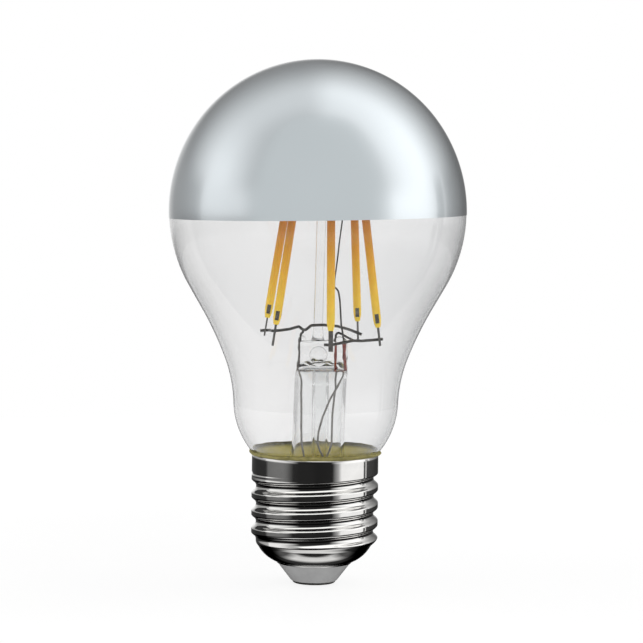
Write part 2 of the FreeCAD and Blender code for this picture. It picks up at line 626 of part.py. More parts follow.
rg = size["ring_rad"] + size["tab_thick"] / 2 + 0.08
lf, cf = on_tab("left_front", 2.6, rg), on_tab("centre_front", 3.0, rg)
rf, rb = on_tab("right_front", 2.8, rg), on_tab("right_back", 2.2, -rg)
fl = on_tab("far_left", 1.8, -rg)
TOP = [fl + Vector(-1.1, 0.2, 0), fl + Vector(0.55, -0.1, 0.0), lf + Vector(-0.7, 0.9, 0), lf + Vector(0.5, 0.0, 0), cf + Vector(-0.8, 0.1, 0),
       cf + Vector(0.8, 0.1, 0), rf + Vector(-0.6, -0.05, 0), rf + Vector(0.75, 0.1, 0), rb + Vector(0.9, -0.9, 0), rb + Vector(0.5, -0.05, 0), rb + Vector(-0.9, 0, 0)]
wire("top_ring_wire", D("ring_rad"), [tuple(v) for v in TOP], 1.4)
# support through the bead of the post, with a foot on the ring at each side
wire("top_support_wire", D("ring_rad"), [(-2.0, 0, 87.2), (4.0, 0, 87.2)], 1.0)

# ---------------------------------------------------------------- screw shell
# Rolled from thin sheet: the round thread of crest and root arcs shows on the inside
# too. A plain collar is above it and a curved skirt below, and the thread runs out
# into both. The outer form and the inner form are built alike, and one cuts the other.


def root_of(q):
    return Dim(math.sqrt(q.value), "sqrt(%s)" % q.text)


def bump_outline(sk, wall):
    """Section of one turn of thread, crest and two root arcs, down to the core."""
    half = D("thread_pitch") / 2
    cc = D("crest_rad") - D("thread_round")
    rc = D("root_rad") + D("thread_round")
    r_c, r_r = D("thread_round") - wall, D("thread_round") + wall
    base = D("root_rad") - wall + dim(0.05)
    reach = root_of(half * half + (rc - cc) * (rc - cc))
    ux, ur = half / reach, (rc - cc) / reach
    x1, z1 = cc + r_c * ur, r_c * ux
    x2, z2 = rc - r_r * ur, half - r_r * ux
    z3 = half - root_of(r_r * r_r - (rc - base) * (rc - base))
    deep = base - dim(0.6)
    closed_outline(sk, [(x1, -z1), (x1, z1), (x2, z2), (base, z3), (deep, z3), (deep, -z3), (base, -z3), (x2, -z2)],
                   {0: (r_c, 1), 2: (r_r, -1), 6: (r_r, -1)})


def skin_form(tag, wall):
    """Core turned to the collar, root and skirt, with the helical ridge fused to it."""
    w = wall
    core = doc.addObject("PartDesign::Body", "cap_core_" + tag)
    sk = sketch_on(core, "XZ_Plane", "CoreSection_" + tag)
    collar, root = D("collar_rad") - w, D("root_rad") + dim(0.02) - w
    top = D("rim_top") if tag == "outer" else D("rim_top") + dim(1.0)
    if tag == "outer":
        verts = [(zero, D("lip_z")), (D("lip_out"), D("lip_z")), (dim(9.85), dim(5.56)), (dim(11.15), dim(7.0)), (root, dim(8.75)),
                 (root, dim(22.15)), (collar, dim(22.75)), (collar, top - dim(0.5)), (collar - dim(0.1), top), (zero, top)]
        arcs = {1: (dim(5.5), 1), 2: (dim(12), 1), 3: (dim(4.2), 1), 7: (dim(1.6), 1)}
    else:
        verts = [(zero, dim(3.6)), (D("lip_in"), dim(3.6)), (D("lip_in"), dim(4.42)), (dim(9.6), dim(5.75)), (dim(10.9), dim(7.2)), (root, dim(8.85)),
                 (root, dim(22.0)), (collar, dim(22.6)), (collar, top), (zero, top)]
        arcs = {2: (dim(5.2), 1), 3: (dim(12), 1), 4: (dim(3.9), 1)}
    closed_outline(sk, verts, arcs)
    revolve(core, sk)
    # the run of the thread, starting a little under the skirt
    start = D("crest_z") - D("thread_pitch") * 2.5
    helix = doc.addObject("Part::Helix", "thread_line_" + tag)
    helix.setExpression("Pitch", D("thread_pitch").text)
    helix.setExpression("Height", (D("thread_pitch") * 5).text)
    helix.setExpression("Radius", "%s - 0.5" % D("crest_rad").text)
    helix.SegmentLength = 1.0
    helix.setExpression("Placement.Base.z", start.text)
    section = doc.addObject("Sketcher::SketchObject", "ThreadSection_" + tag)
    section.Placement = Placement(Vector(0, 0, start.value), Rotation(Vector(1, 0, 0), 90))
    section.setExpression("Placement.Base.z", start.text)
    bump_outline(section, w)
    doc.recompute()
    ridge = doc.addObject("Part::Sweep", "thread_ridge_" + tag)
    ridge.Sections = [section]
    ridge.Spine = (helix, ["Edge%d" % (k + 1) for k in range(len(helix.Shape.Edges))])
    ridge.Solid = True
    ridge.Frenet = True
    # a turned limit lets the thread run out at both ends
    limit = doc.addObject("PartDesign::Body", "thread_limit_" + tag)
    sk = sketch_on(limit, "XZ_Plane", "LimitSection_" + tag)
    tall = D("crest_rad") + dim(0.2) - w
    closed_outline(sk, [(dim(5), dim(6.0)), (dim(9.6) - w, dim(6.3)), (dim(11.25) - w, dim(7.5)), (dim(12.4) - w, dim(8.05)), (tall, dim(9.4)),
                        (tall, dim(21.75)), (D("collar_rad") - w - dim(0.02), dim(22.5)), (D("collar_rad") - w - dim(0.02), dim(25.0)), (dim(5), dim(25.0))])
    revolve(limit, sk)
    kept = doc.addObject("Part::Common", "thread_kept_" + tag)
    kept.Base = ridge
    kept.Tool = limit
    form = doc.addObject("Part::Fuse", "cap_form_" + tag)
    form.Base = core
    form.Tool = kept
    return form


outer_form = skin_form("outer", zero)
inner_form = skin_form("inner", D("shell_wall"))
shell_cut = doc.addObject("Part::Cut", "screw_shell")
shell_cut.Label = "screw_shell"
shell_cut.Base = outer_form
shell_cut.Tool = inner_form
nodes.append(shell_cut)

# ---------------------------------------------------------------- basing cement
cement = new_body("basing_cement")
sk = sketch_on(cement, "XZ_Plane", "CementSection")
top_ang_value = math.degrees(math.acos((size["cement_top"] - (P7[1].value - size["tuck_rad"] * math.cos(math.radians(size["neck_ang"])))) / size["tuck_rad"]))
tuck_cx = P7[0] - D("tuck_rad") * sine(D("neck_ang"))
tuck_cz = P7[1] - D("tuck_rad") * cosine(D("neck_ang"))
top_ang = Dim(top_ang_value, "(acos((Dimensions.cement_top - %s) / Dimensions.tuck_rad) / 1 deg)" % tuck_cz.text)
PC = arc_point(tuck_cx, tuck_cz, D("tuck_rad"), top_ang)
inside = D("collar_rad") - D("shell_wall")
verts = [(P9[0], D("cement_low")), (inside, D("cement_low")), (inside, D("rim_top")), (D("collar_rad") + dim(0.12), D("rim_top")),
         (dim(13.62), dim(27.25)), PC, P8, P9]
closed_outline(sk, verts, {3: (dim(1.1), 1), 4: (dim(0.6), 1), 5: (D("tuck_rad"), -1), 6: (D("tail_rad"), 1)})
revolve(cement, sk)

# ---------------------------------------------------------------- insulator and contact
ins = new_body("insulator")
sk = sketch_on(ins, "XZ_Plane", "InsulatorSection")
ct = D("contact_thick")
closed_outline(sk, [(D("eyelet_rad"), ct), (D("cone_low") - dim(0.35), ct), (D("cone_low") + dim(0.12), ct + dim(0.3)), (D("cone_top"), D("lip_z")),
                    (D("lip_in"), D("lip_z")), (D("lip_in"), D("insulator_top")), (D("lip_in") - dim(1.2), D("insulator_top")),
                    (dim(4.6), dim(2.4)), (D("eyelet_rad"), dim(2.4))],
               {1: (dim(0.6), 1)})
revolve(ins, sk)
con = new_body("centre_contact")
sk = sketch_on(con, "XZ_Plane", "ContactSection")
cr = D("contact_rad")
closed_outline(sk, [(zero, zero), (cr - dim(0.4), zero), (cr, dim(0.35)), (cr, ct), (D("eyelet_rad"), ct),
                    (D("eyelet_rad"), ct + D("eyelet_high")), (D("eyelet_rad") - dim(0.3), ct + D("eyelet_high")),
                    (D("eyelet_rad") - dim(0.3), ct), (zero, ct)],
               {1: (dim(0.45), 1)})
revolve(con, sk)

# ---------------------------------------------------------------- driver in the cap
by, bb = D("board_y"), D("board_back")
bl, bh = D("board_low"), D("board_top")
board = box("driver_board", D("board_wide"), D("board_thick"), bh - bl, D("board_wide") / -2, bb - D("board_thick"), bl)
nodes.append(board)
front = bb - D("board_thick")
nodes.append(box("bridge_rectifier", dim(4.7), dim(1.5), dim(4.0), dim(-5.6), front - dim(1.5), dim(12.6)))
nodes.append(box("driver_chip", dim(4.9), dim(1.4), dim(3.9), dim(1.2), front - dim(1.4), dim(12.4)))
back_turn = Rotation(Vector(1, 0, 0), -90)
can = cylinder("smoothing_capacitor", dim(2.5), dim(7.6), dim(-4.6), bb, dim(11.2), back_turn)
can_edge = doc.addObject("Part::Fillet", "smoothing_capacitor_rounded")
can_edge.Base = can
doc.recompute()
far = [i + 1 for i, e in enumerate(can.Shape.Edges) if abs(e.BoundBox.YMin - (size["board_back"] + 7.6)) < 1e-3 and e.BoundBox.YLength < 1e-3]
can_edge.Edges = [(i, 0.4, 0.4) for i in far]
can.Label = "capacitor_blank"
can_edge.Label = "smoothing_capacitor"
nodes.append(can_edge)
nodes.append(box("film_capacitor", dim(4.5), dim(2.6), dim(4.4), dim(-1.95), bb, dim(7.4)))
core = new_body("choke_core")
sk = sketch_on(core, "XZ_Plane", "CoreSection")
closed_outline(sk, [(zero, zero), (dim(2.9), zero), (dim(2.9), dim(0.8)), (dim(1.4), dim(0.8)), (dim(1.4), dim(4.6)),
                    (dim(2.9), dim(4.6)), (dim(2.9), dim(5.4)), (zero, dim(5.4))])
revolve(core, sk)
core.Placement = Placement(Vector(5.6, size["board_back"], 12.2), back_turn)
coil = new_body("choke_winding")
sk = sketch_on(coil, "XZ_Plane", "CoilSection")
closed_outline(sk, [(dim(1.4), dim(0.8)), (dim(2.55), dim(0.8)), (dim(2.7), dim(2.7)), (dim(2.55), dim(4.6)), (dim(1.4), dim(4.6))])
revolve(coil, sk)
coil.Placement = Placement(Vector(5.6, size["board_back"], 12.2), back_turn)
res = new_body("fuse_resistor")
sk = sketch_on(res, "XZ_Plane", "ResistorSection")
closed_outline(sk, [(zero, zero), (dim(0.9), zero), (dim(1.15), dim(0.35)), (dim(1.15), dim(1.3)), (dim(0.98), dim(1.7)), (dim(0.98), dim(4.3)),
                    (dim(1.15), dim(4.7)), (dim(1.15), dim(5.65)), (dim(0.9), dim(6.0)), (zero, dim(6.0))],
               {1: (dim(0.5), 1), 7: (dim(0.5), 1)})
revolve(res, sk)
res.Placement = Placement(Vector(0.0, -5.6, 6.4), Rotation())
# live lead: up from the eyelet to the resistor, and from the resistor to the board
wire("live_wire", D("outer_rad"), [(0, 0, size["contact_thick"]), (0, 0, 3.6), (0, -2.2, 4.3), (0, -5.0, 4.9), (0, -5.6, 5.5), (0, -5.6, 6.4)], 0.8)
wire("resistor_lead", D("outer_rad"), [(0, -5.6, 12.4), (0, -5.6, 13.6), (0, -5.1, 14.3), (0, -3.6, 14.6), (0, -2.8, 14.6)], 0.6)
wire("neutral_wire", D("outer_rad"), [(-6.4, -2.4, 7.2), (-6.4, -2.4, 6.6), (-7.0, -2.7, 6.15), (-8.3, -3.4, 6.0)], 0.6)

# ---------------------------------------------------------------- check and write
doc.recompute()
for obj in doc.Objects:
    bad = [s for s in obj.State if "Invalid" in s or "Error" in s]
    if bad:
        raise RuntimeError("%s is %s" % (obj.Label, bad))
seen = set()
for obj in nodes:
    shape = obj.Shape
    if shape.isNull() or not shape.isValid():
        raise RuntimeError("%s has no valid shape" % obj.Label)
    if obj.Label in seen:
        raise RuntimeError("%s is used twice" % obj.Label)
    seen.add(obj.Label)
    if len(shape.Solids) != 1 or shape.Volume <= 0:
        raise RuntimeError("%s has %d solids, volume %.3f" % (obj.Label, len(shape.Solids), shape.Volume))
for sweep, length, r, tight in wires:
    want = math.pi * r * r * length
    if abs(sweep.Shape.Volume - want) > 0.02 * want + 0.01:
        raise RuntimeError("%s sweeps %.3f, not %.3f" % (sweep.Label, sweep.Shape.Volume, want))
    print("%-24s length %7.2f  tightest bend %s" % (sweep.Label, length, "straight" if tight is None else "%.2f" % tight))
for obj in nodes:
    obj.Shape.exportStep("parts/%s.step" % obj.Label)
print(len(nodes), "nodes")
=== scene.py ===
# Looks of the silver crown bulb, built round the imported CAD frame. Metres, +Z up, -Y faces the camera.
import json
import math
import bpy
import bmesh
import numpy as np
from mathutils import Matrix, Vector


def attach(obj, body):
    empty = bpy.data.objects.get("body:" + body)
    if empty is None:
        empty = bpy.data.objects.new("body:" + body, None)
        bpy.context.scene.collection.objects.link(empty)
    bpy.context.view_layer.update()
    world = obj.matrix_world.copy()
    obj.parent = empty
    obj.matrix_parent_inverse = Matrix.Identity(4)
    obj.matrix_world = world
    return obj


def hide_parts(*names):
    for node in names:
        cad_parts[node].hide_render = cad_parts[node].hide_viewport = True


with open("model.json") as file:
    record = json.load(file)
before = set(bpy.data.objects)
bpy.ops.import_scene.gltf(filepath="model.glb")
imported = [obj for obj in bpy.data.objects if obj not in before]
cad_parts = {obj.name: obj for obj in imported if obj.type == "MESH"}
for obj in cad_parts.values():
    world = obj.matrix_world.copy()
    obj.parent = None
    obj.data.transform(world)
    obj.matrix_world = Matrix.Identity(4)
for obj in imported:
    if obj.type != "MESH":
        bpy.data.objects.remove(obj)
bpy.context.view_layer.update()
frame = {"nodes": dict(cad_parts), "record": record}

MM = 0.001
scene = bpy.context.scene
nodes = frame["nodes"]


# ------------------------------------------------------------------ mesh helpers
def new_mesh(name, verts, faces, smooth=True):
    me = bpy.data.meshes.new(name)
    me.from_pydata([tuple(v) for v in verts], [], faces)
    me.validate()
    me.update()
    if smooth:
        me.polygons.foreach_set("use_smooth", [True] * len(me.polygons))
    ob = bpy.data.objects.new(name, me)
    scene.collection.objects.link(ob)
    return ob


def face_out(ob):
    bm = bmesh.new()
    bm.from_mesh(ob.data)
    bmesh.ops.recalc_face_normals(bm, faces=bm.faces)
    bm.to_mesh(ob.data)
    bm.free()
    ob.data.update()
    return ob


def sharpen(ob, degrees):
    ob.data.set_sharp_from_angle(angle=math.radians(degrees))
    return ob


def grid_mesh(name, rings, closed_profile=True, sharp=None):
    """rings[i][k]: the ring i round the axis, all rings the same length. A ring of one point is a pole."""
    verts, starts = [], []
    for ring in rings:
        starts.append((len(verts), len(ring)))
        verts.extend([(x * MM, y * MM, z * MM) for x, y, z in ring])
    faces = []
    last = len(rings) if closed_profile else len(rings) - 1
    for i in range(last):
        (a, na), (b, nb) = starts[i], starts[(i + 1) % len(rings)]
        if na == 1 and nb == 1:
            continue
        n = max(na, nb)
        for k in range(n):
            m = (k + 1) % n
            if na == 1:
                faces.append((a, b + m, b + k))
            elif nb == 1:
                faces.append((a + k, a + m, b))
            else:
                faces.append((a + k, a + m, b + m, b + k))
    ob = face_out(new_mesh(name, verts, faces))
    if sharp:
        sharpen(ob, sharp)
    return ob


def lathe(name, profile, n, closed_profile=True, sharp=None, centre=(0.0, 0.0)):
    rings = []
    for r, z in profile:
        if r < 1e-9:
            rings.append([(centre[0], centre[1], z)])
        else:
            rings.append([(centre[0] + r * math.cos(2 * math.pi * k / n), centre[1] + r * math.sin(2 * math.pi * k / n), z)
                          for k in range(n)])
    return grid_mesh(name, rings, closed_profile, sharp)


def smooth_rows(rows, zs):
    """Monotone cubic curve through the rows (z, a, b, ...) at the heights zs."""
    rows = np.array(rows, float)
    x, out = rows[:, 0], []
    for c in range(1, rows.shape[1]):
        y = rows[:, c]
        h = np.diff(x)
        d = np.diff(y) / h
        m = np.zeros(len(y))
        m[0], m[-1] = d[0], d[-1]
        for i in range(1, len(y) - 1):
            if d[i - 1] * d[i] > 0:
                w1, w2 = 2 * h[i] + h[i - 1], h[i] + 2 * h[i - 1]
                m[i] = (w1 + w2) / (w1 / d[i - 1] + w2 / d[i])
        col = []
        for z in zs:
            i = int(min(max(np.searchsorted(x, z) - 1, 0), len(h) - 1))
            s = (z - x[i]) / h[i]
            col.append((2 * s ** 3 - 3 * s ** 2 + 1) * y[i] + (s ** 3 - 2 * s ** 2 + s) * h[i] * m[i]
                       + (-2 * s ** 3 + 3 * s ** 2) * y[i + 1] + (s ** 3 - s ** 2) * h[i] * m[i + 1])
        out.append(col)
    return list(zip(*out))


def place(ob, node):
    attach(ob, "root")
    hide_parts(*([node] if isinstance(node, str) else node))
    return ob


# ------------------------------------------------------------------ shader helpers
class Mat:
    """Small helper that adds and joins the nodes of one material."""

    def __init__(self, name):
        self.m = bpy.data.materials.new(name)
        self.m.use_nodes = True
        self.t = self.m.node_tree
        self.t.nodes.clear()
        self.out = self.t.nodes.new("ShaderNodeOutputMaterial")
        self.bsdf = self.t.nodes.new("ShaderNodeBsdfPrincipled")
        self.t.links.new(self.bsdf.outputs[0], self.out.inputs["Surface"])

    def node(self, kind, **values):
        n = self.t.nodes.new(kind)
        for key, v in values.items():
            if key in n.inputs:
                n.inputs[key].default_value = v
            else:
                setattr(n, key, v)
        return n

    def link(self, a, b):
        self.t.links.new(a, b)

    def set(self, **values):
        for key, v in values.items():
            self.bsdf.inputs[key.replace("_", " ")].default_value = v
        return self

    def coords(self, scale=(1, 1, 1)):
        tc = self.node("ShaderNodeTexCoord")
        mp = self.node("ShaderNodeMapping")
        mp.inputs["Scale"].default_value = scale
        self.link(tc.outputs["Object"], mp.inputs["Vector"])
        return mp.outputs["Vector"]

    def noise(self, scale, detail=3.0, rough=0.5, stretch=(1, 1, 1), distortion=0.0):
        n = self.node("ShaderNodeTexNoise")
        n.inputs["Scale"].default_value = scale
        n.inputs["Detail"].default_value = detail
        n.inputs["Roughness"].default_value = rough
        n.inputs["Distortion"].default_value = distortion
        self.link(self.coords(stretch), n.inputs["Vector"])
        return n.outputs["Fac"]

    def ramp(self, fac, stops, mode="LINEAR"):
        r = self.node("ShaderNodeValToRGB")
        r.color_ramp.interpolation = mode
        while len(r.color_ramp.elements) < len(stops):
            r.color_ramp.elements.new(0.5)
        for e, (p, c) in zip(r.color_ramp.elements, stops):
            e.position = p
            e.color = (c, c, c, 1) if isinstance(c, (int, float)) else (*c, 1)
        self.link(fac, r.inputs["Fac"])
        return r.outputs["Color"]

    def span(self, fac, lo, hi, to_lo=0.0, to_hi=1.0):
        n = self.node("ShaderNodeMapRange")
        for key, v in (("From Min", lo), ("From Max", hi), ("To Min", to_lo), ("To Max", to_hi)):
            n.inputs[key].default_value = v
        self.link(fac, n.inputs["Value"])
        return n.outputs["Result"]

    def math(self, op, a, b=None):
        n = self.node("ShaderNodeMath", operation=op)
        for i, v in enumerate((a, b)):
            if v is None:
                continue
            if isinstance(v, (int, float)):
                n.inputs[i].default_value = v
            else:
                self.link(v, n.inputs[i])
        return n.outputs[0]

    def mix(self, fac, a, b, blend="MIX"):
        n = self.node("ShaderNodeMix", data_type="RGBA", blend_type=blend)
        for sock, v in ((n.inputs[0], fac), (n.inputs[6], a), (n.inputs[7], b)):
            if isinstance(v, (int, float)):
                sock.default_value = v
            elif isinstance(v, tuple):
                sock.default_value = (*v, 1)
            else:
                self.link(v, sock)
        return n.outputs[2]

    def bump(self, height, strength, distance=0.0001):
        n = self.node("ShaderNodeBump")
        n.inputs["Strength"].default_value = strength
        n.inputs["Distance"].default_value = distance
        self.link(height, n.inputs["Height"])
        self.link(n.outputs["Normal"], self.bsdf.inputs["Normal"])
        return n

    def height_of(self):
        tc = self.node("ShaderNodeTexCoord")
        s = self.node("ShaderNodeSeparateXYZ")
        self.link(tc.outputs["Object"], s.inputs[0])
        return s.outputs["Z"]

    def across(self):
        tc = self.node("ShaderNodeTexCoord")
        s = self.node("ShaderNodeSeparateXYZ")
        self.link(tc.outputs["Object"], s.inputs[0])
        return s.outputs["X"]

    def clear_to_lamps(self, tint=(0.95, 0.96, 0.96)):
        """Lamps reach what is behind this glass."""
        path = self.node("ShaderNodeLightPath")
        clear = self.node("ShaderNodeBsdfTransparent")
        clear.inputs["Color"].default_value = (*tint, 1)
        mix = self.node("ShaderNodeMixShader")
        self.link(path.outputs["Is Shadow Ray"], mix.inputs[0])
        self.link(self.bsdf.outputs[0], mix.inputs[1])
        self.link(clear.outputs[0], mix.inputs[2])
        self.link(mix.outputs[0], self.out.inputs["Surface"])
        return self


def srgb(r, g, b):
    return tuple((c / 255 / 12.92) if c / 255 <= 0.04045 else ((c / 255 + 0.055) / 1.055) ** 2.4 for c in (r, g, b))


# ------------------------------------------------------------------ materials
def glass_material(name, ior, stops, wave, above=None, right_side_shade_stops=None):
    m = Mat(name)
    m.set(Roughness=0.0, IOR=ior, Transmission_Weight=1.0)
    # painted shade: the glass colour darkens towards its outline, where the view grazes it, standing in for the dark
    # edges that refraction gives
    look = m.node("ShaderNodeLayerWeight")
    look.inputs["Blend"].default_value = 0.5
    edge_shaded_tint = m.ramp(look.outputs["Facing"], stops)
    # painted shade: to the right of the axis the glass darkens more, and over a wider band
    if right_side_shade_stops:
        edge_shaded_tint = m.mix(m.span(m.across(), -0.012, 0.02), edge_shaded_tint, m.ramp(look.outputs["Facing"], right_side_shade_stops))
    if above:
        edge_shaded_tint = m.mix(m.span(m.height_of(), above[0], above[1]), (0.975, 0.95, 0.76), edge_shaded_tint)
    streak = m.noise(60, 2.0, 0.5, (1, 1, 0.35))
    m.link(m.mix(m.span(streak, 0.3, 0.7, 0.0, 0.05), edge_shaded_tint, (0.86, 0.88, 0.88)), m.bsdf.inputs["Base Color"])
    m.bump(m.noise(35, 1.0, 0.4), wave, 0.0004)
    return m.clear_to_lamps().m


# the second list of stops is painted shade on the right side of the bulb
envelope_glass = glass_material("envelope_glass", 1.47, [(0.0, (0.922, 0.92, 0.92)), (0.55, (0.936, 0.935, 0.935)), (0.8, (0.88, 0.882, 0.884)), (1.0, (0.80, 0.81, 0.815))], 0.02, None,
                                [(0.0, (0.912, 0.911, 0.912)), (0.4, (0.885, 0.886, 0.889)), (0.62, (0.82, 0.823, 0.827)), (0.82, (0.72, 0.725, 0.73)), (1.0, (0.40, 0.41, 0.42))])
stem_glass = glass_material("stem_glass", 1.5, [(0.0, (0.985, 0.988, 0.988)), (0.4, (0.96, 0.965, 0.965)), (0.75, (0.72, 0.725, 0.725)), (1.0, (0.20, 0.20, 0.20))], 0.05, (0.0262, 0.0285))


def mirror_material():
    m = Mat("mirror_coat")
    m.set(Metallic=1.0, Roughness=0.24, IOR=1.5, Coat_Weight=1.0, Coat_Roughness=0.02, Coat_IOR=1.6)
    cloud = m.noise(28, 2.0, 0.5)
    m.link(m.ramp(cloud, [(0.3, srgb(224, 231, 235)), (0.7, srgb(229, 236, 240))]), m.bsdf.inputs["Base Color"])
    m.link(m.span(m.noise(55, 3.0, 0.5), 0.3, 0.7, 0.22, 0.27), m.bsdf.inputs["Roughness"])
    m.bump(m.noise(160, 3.0, 0.6), 0.03, 0.0001)
    return m.m


def chrome_material():
    m = Mat("cap_metal")
    m.set(Metallic=1.0, Roughness=0.07)
    grime = m.noise(180, 4.0, 0.6)
    z = m.height_of()
    rolled = m.noise(900, 2.0, 0.5, (0.06, 0.06, 1))
    base = m.ramp(grime, [(0.35, srgb(232, 231, 229)), (0.65, srgb(241, 240, 238))])
    m.link(m.mix(m.span(rolled, 0.35, 0.7, 0.0, 0.12), base, srgb(205, 203, 199)), m.bsdf.inputs["Base Color"])
    m.link(m.span(m.math("ADD", grime, m.math("MULTIPLY", rolled, 0.4)), 0.4, 1.0, 0.04, 0.085), m.bsdf.inputs["Roughness"])
    m.bump(m.noise(260, 2.0, 0.5), 0.02, 0.00004)
    return m.m


def wire_material(name, base, dark, rough, metal=1.0, grain=700):
    m = Mat(name)
    m.set(Metallic=metal, Roughness=rough)
    n = m.noise(grain, 3.0, 0.6)
    m.link(m.ramp(n, [(0.3, dark), (0.7, base)]), m.bsdf.inputs["Base Color"])
    m.link(m.span(n, 0.3, 0.7, rough + 0.08, rough - 0.06), m.bsdf.inputs["Roughness"])
    m.bump(m.noise(grain * 2.5, 2.0, 0.5), 0.08, 0.00004)
    return m.m


def seal_material():
    """Red-brown on the right of the stem (x above 1 mm), dark grey-brown on the left (x below -1 mm)."""
    m = Mat("copper_clad_wire")
    m.set(Metallic=0.6, Roughness=0.35)
    n = m.noise(700, 3.0, 0.6)
    red = m.ramp(n, [(0.3, srgb(112, 34, 22)), (0.7, srgb(158, 54, 34))])
    left_dark_tone = m.ramp(n, [(0.3, srgb(58, 50, 46)), (0.7, srgb(84, 74, 68))])
    m.link(m.mix(m.span(m.across(), -0.001, 0.001), left_dark_tone, red), m.bsdf.inputs["Base Color"])
    m.link(m.span(n, 0.3, 0.7, 0.43, 0.29), m.bsdf.inputs["Roughness"])
    m.bump(m.noise(1750, 2.0, 0.5), 0.08, 0.00004)
    return m.m


def phosphor_material():
    m = Mat("phosphor")
    m.set(Roughness=0.5, IOR=1.34, Subsurface_Weight=0.12, Subsurface_Scale=0.0006, Coat_Weight=0.08, Coat_Roughness=0.25)
    z = m.height_of()
    # painted shade: the phosphor darkens from yellow at the foot to orange-brown at the top, under the crown
    height_shade = m.ramp(m.span(z, 0.050, 0.078), [(0.0, srgb(255, 224, 78)), (0.3, srgb(254, 208, 58)), (0.6, srgb(246, 178, 38)), (0.85, srgb(226, 138, 14)), (1.0, srgb(204, 112, 8))])
    mottle = m.noise(520, 4.0, 0.6)
    m.link(m.mix(m.span(mottle, 0.4, 0.75, 0.0, 0.2), height_shade, srgb(236, 160, 36)), m.bsdf.inputs["Base Color"])
    m.link(m.span(mottle, 0.3, 0.7, 0.36, 0.5), m.bsdf.inputs["Roughness"])
    m.bump(m.noise(1400, 2.0, 0.5), 0.25, 0.00005)
    return m.m


def cement_material():
    m = Mat("cement")
    m.set(Roughness=0.62)
    big = m.noise(140, 5.0, 0.6)
    small = m.noise(1100, 4.0, 0.65)
    base = m.ramp(big, [(0.25, srgb(196, 180, 62)), (0.5, srgb(236, 218, 96)), (0.75, srgb(250, 234, 124))])
    body = m.mix(m.span(small, 0.45, 0.75, 0.0, 0.5), base, srgb(240, 226, 126))
    # painted light and shade: the cement outside the glass is painted darker, and the cement inside the neck lighter,
    # to even out how differently the two are lit
    tc = m.node("ShaderNodeTexCoord")
    cut = m.node("ShaderNodeVectorMath", operation="MULTIPLY")
    m.link(tc.outputs["Object"], cut.inputs[0])
    cut.inputs[1].default_value = (1, 1, 0)
    far = m.node("ShaderNodeVectorMath", operation="LENGTH")
    m.link(cut.outputs[0], far.inputs[0])
    outer_painted_shade = m.mix(m.span(small, 0.35, 0.7), srgb(104, 98, 46), srgb(145, 136, 78))
    m.link(m.mix(m.span(far.outputs["Value"], 0.0124, 0.0129), body, outer_painted_shade), m.bsdf.inputs["Base Color"])
    m.link(m.span(small, 0.3, 0.7, 0.5, 0.75), m.bsdf.inputs["Roughness"])
    m.bump(small, 0.6, 0.0003)
    return m.m


def plastic_material(name, light, dark, rough, grain, bumpy, coat=0.0):
    m = Mat(name)
    m.set(Roughness=rough, Coat_Weight=coat, Coat_Roughness=0.15)
    n = m.noise(grain, 3.0, 0.55)
    m.link(m.ramp(n, [(0.3, dark), (0.7, light)]), m.bsdf.inputs["Base Color"])
    m.link(m.span(n, 0.3, 0.7, rough + 0.06, rough - 0.05), m.bsdf.inputs["Roughness"])
    m.bump(m.noise(grain * 4, 2.0, 0.5), bumpy, 0.00008)
    return m.m


def winding_material():
    m = Mat("enamelled_copper")
    m.set(Metallic=1.0, Roughness=0.3)
    z = m.height_of()
    turn_relief_and_shade = m.math("ABSOLUTE", m.math("SINE", m.math("MULTIPLY", z, math.pi / 0.00022)))
    # painted shade and highlight: each turn is dark in the groove beside it and light along its crest; the same
    # pattern also drives the bump
    m.link(m.ramp(turn_relief_and_shade, [(0.0, srgb(70, 30, 14)), (0.5, srgb(176, 92, 44)), (1.0, srgb(210, 122, 66))]), m.bsdf.inputs["Base Color"])
    m.bump(turn_relief_and_shade, 0.6, 0.0001)
    return m.m


mirror_coat = mirror_material()
cap_metal = chrome_material()
nickel_wire = wire_material("nickel_wire", srgb(92, 90, 87), srgb(56, 55, 53), 0.36)
tab_metal = wire_material("tab_metal", srgb(124, 122, 118), srgb(84, 82, 80), 0.34)
copper_clad = seal_material()
tinned = wire_material("tinned_copper", srgb(150, 147, 142), srgb(112, 109, 104), 0.32)
contact_metal = wire_material("contact_metal", srgb(120, 118, 114), srgb(78, 76, 73), 0.38, 1.0, 420)
phosphor = phosphor_material()
cement = cement_material()
insulator_light = plastic_material("insulator_light", srgb(150, 150, 150), srgb(140, 140, 140), 0.36, 300, 0.08, 0.15)
board = plastic_material("board", srgb(40, 98, 60), srgb(24, 70, 42), 0.35, 900, 0.15, 0.4)
black_moulding = plastic_material("black_moulding", srgb(44, 44, 46), srgb(28, 28, 30), 0.5, 1600, 0.2)
can_metal = wire_material("can_metal", srgb(200, 202, 206), srgb(176, 178, 182), 0.28, 1.0, 500)
capacitor_resin = plastic_material("capacitor_resin", srgb(170, 72, 34), srgb(132, 50, 22), 0.25, 700, 0.1, 0.6)
ferrite = plastic_material("ferrite", srgb(62, 60, 60), srgb(40, 39, 39), 0.6, 1500, 0.35)
enamelled = winding_material()
resistor_body = plastic_material("resistor_body", srgb(196, 170, 124), srgb(170, 142, 98), 0.4, 800, 0.15, 0.3)
SLOT_MATERIAL = {
    "envelope_glass": envelope_glass, "mirror_coat": mirror_coat, "stem_glass": stem_glass, "nickel_wire": nickel_wire,
    "copper_clad_wire": copper_clad, "tinned_copper": tinned, "phosphor": phosphor, "tab_metal": tab_metal, "cement": cement,
    "cap_metal": cap_metal, "insulator_light": insulator_light, "contact_metal": contact_metal, "board": board,
    "black_moulding": black_moulding, "can_metal": can_metal, "capacitor_resin": capacitor_resin, "ferrite": ferrite,
    "enamelled_copper": enamelled, "resistor_body": resistor_body,
}
slot_of = {s["node"]: s["material_slot"] for s in frame["record"]["subparts"]}
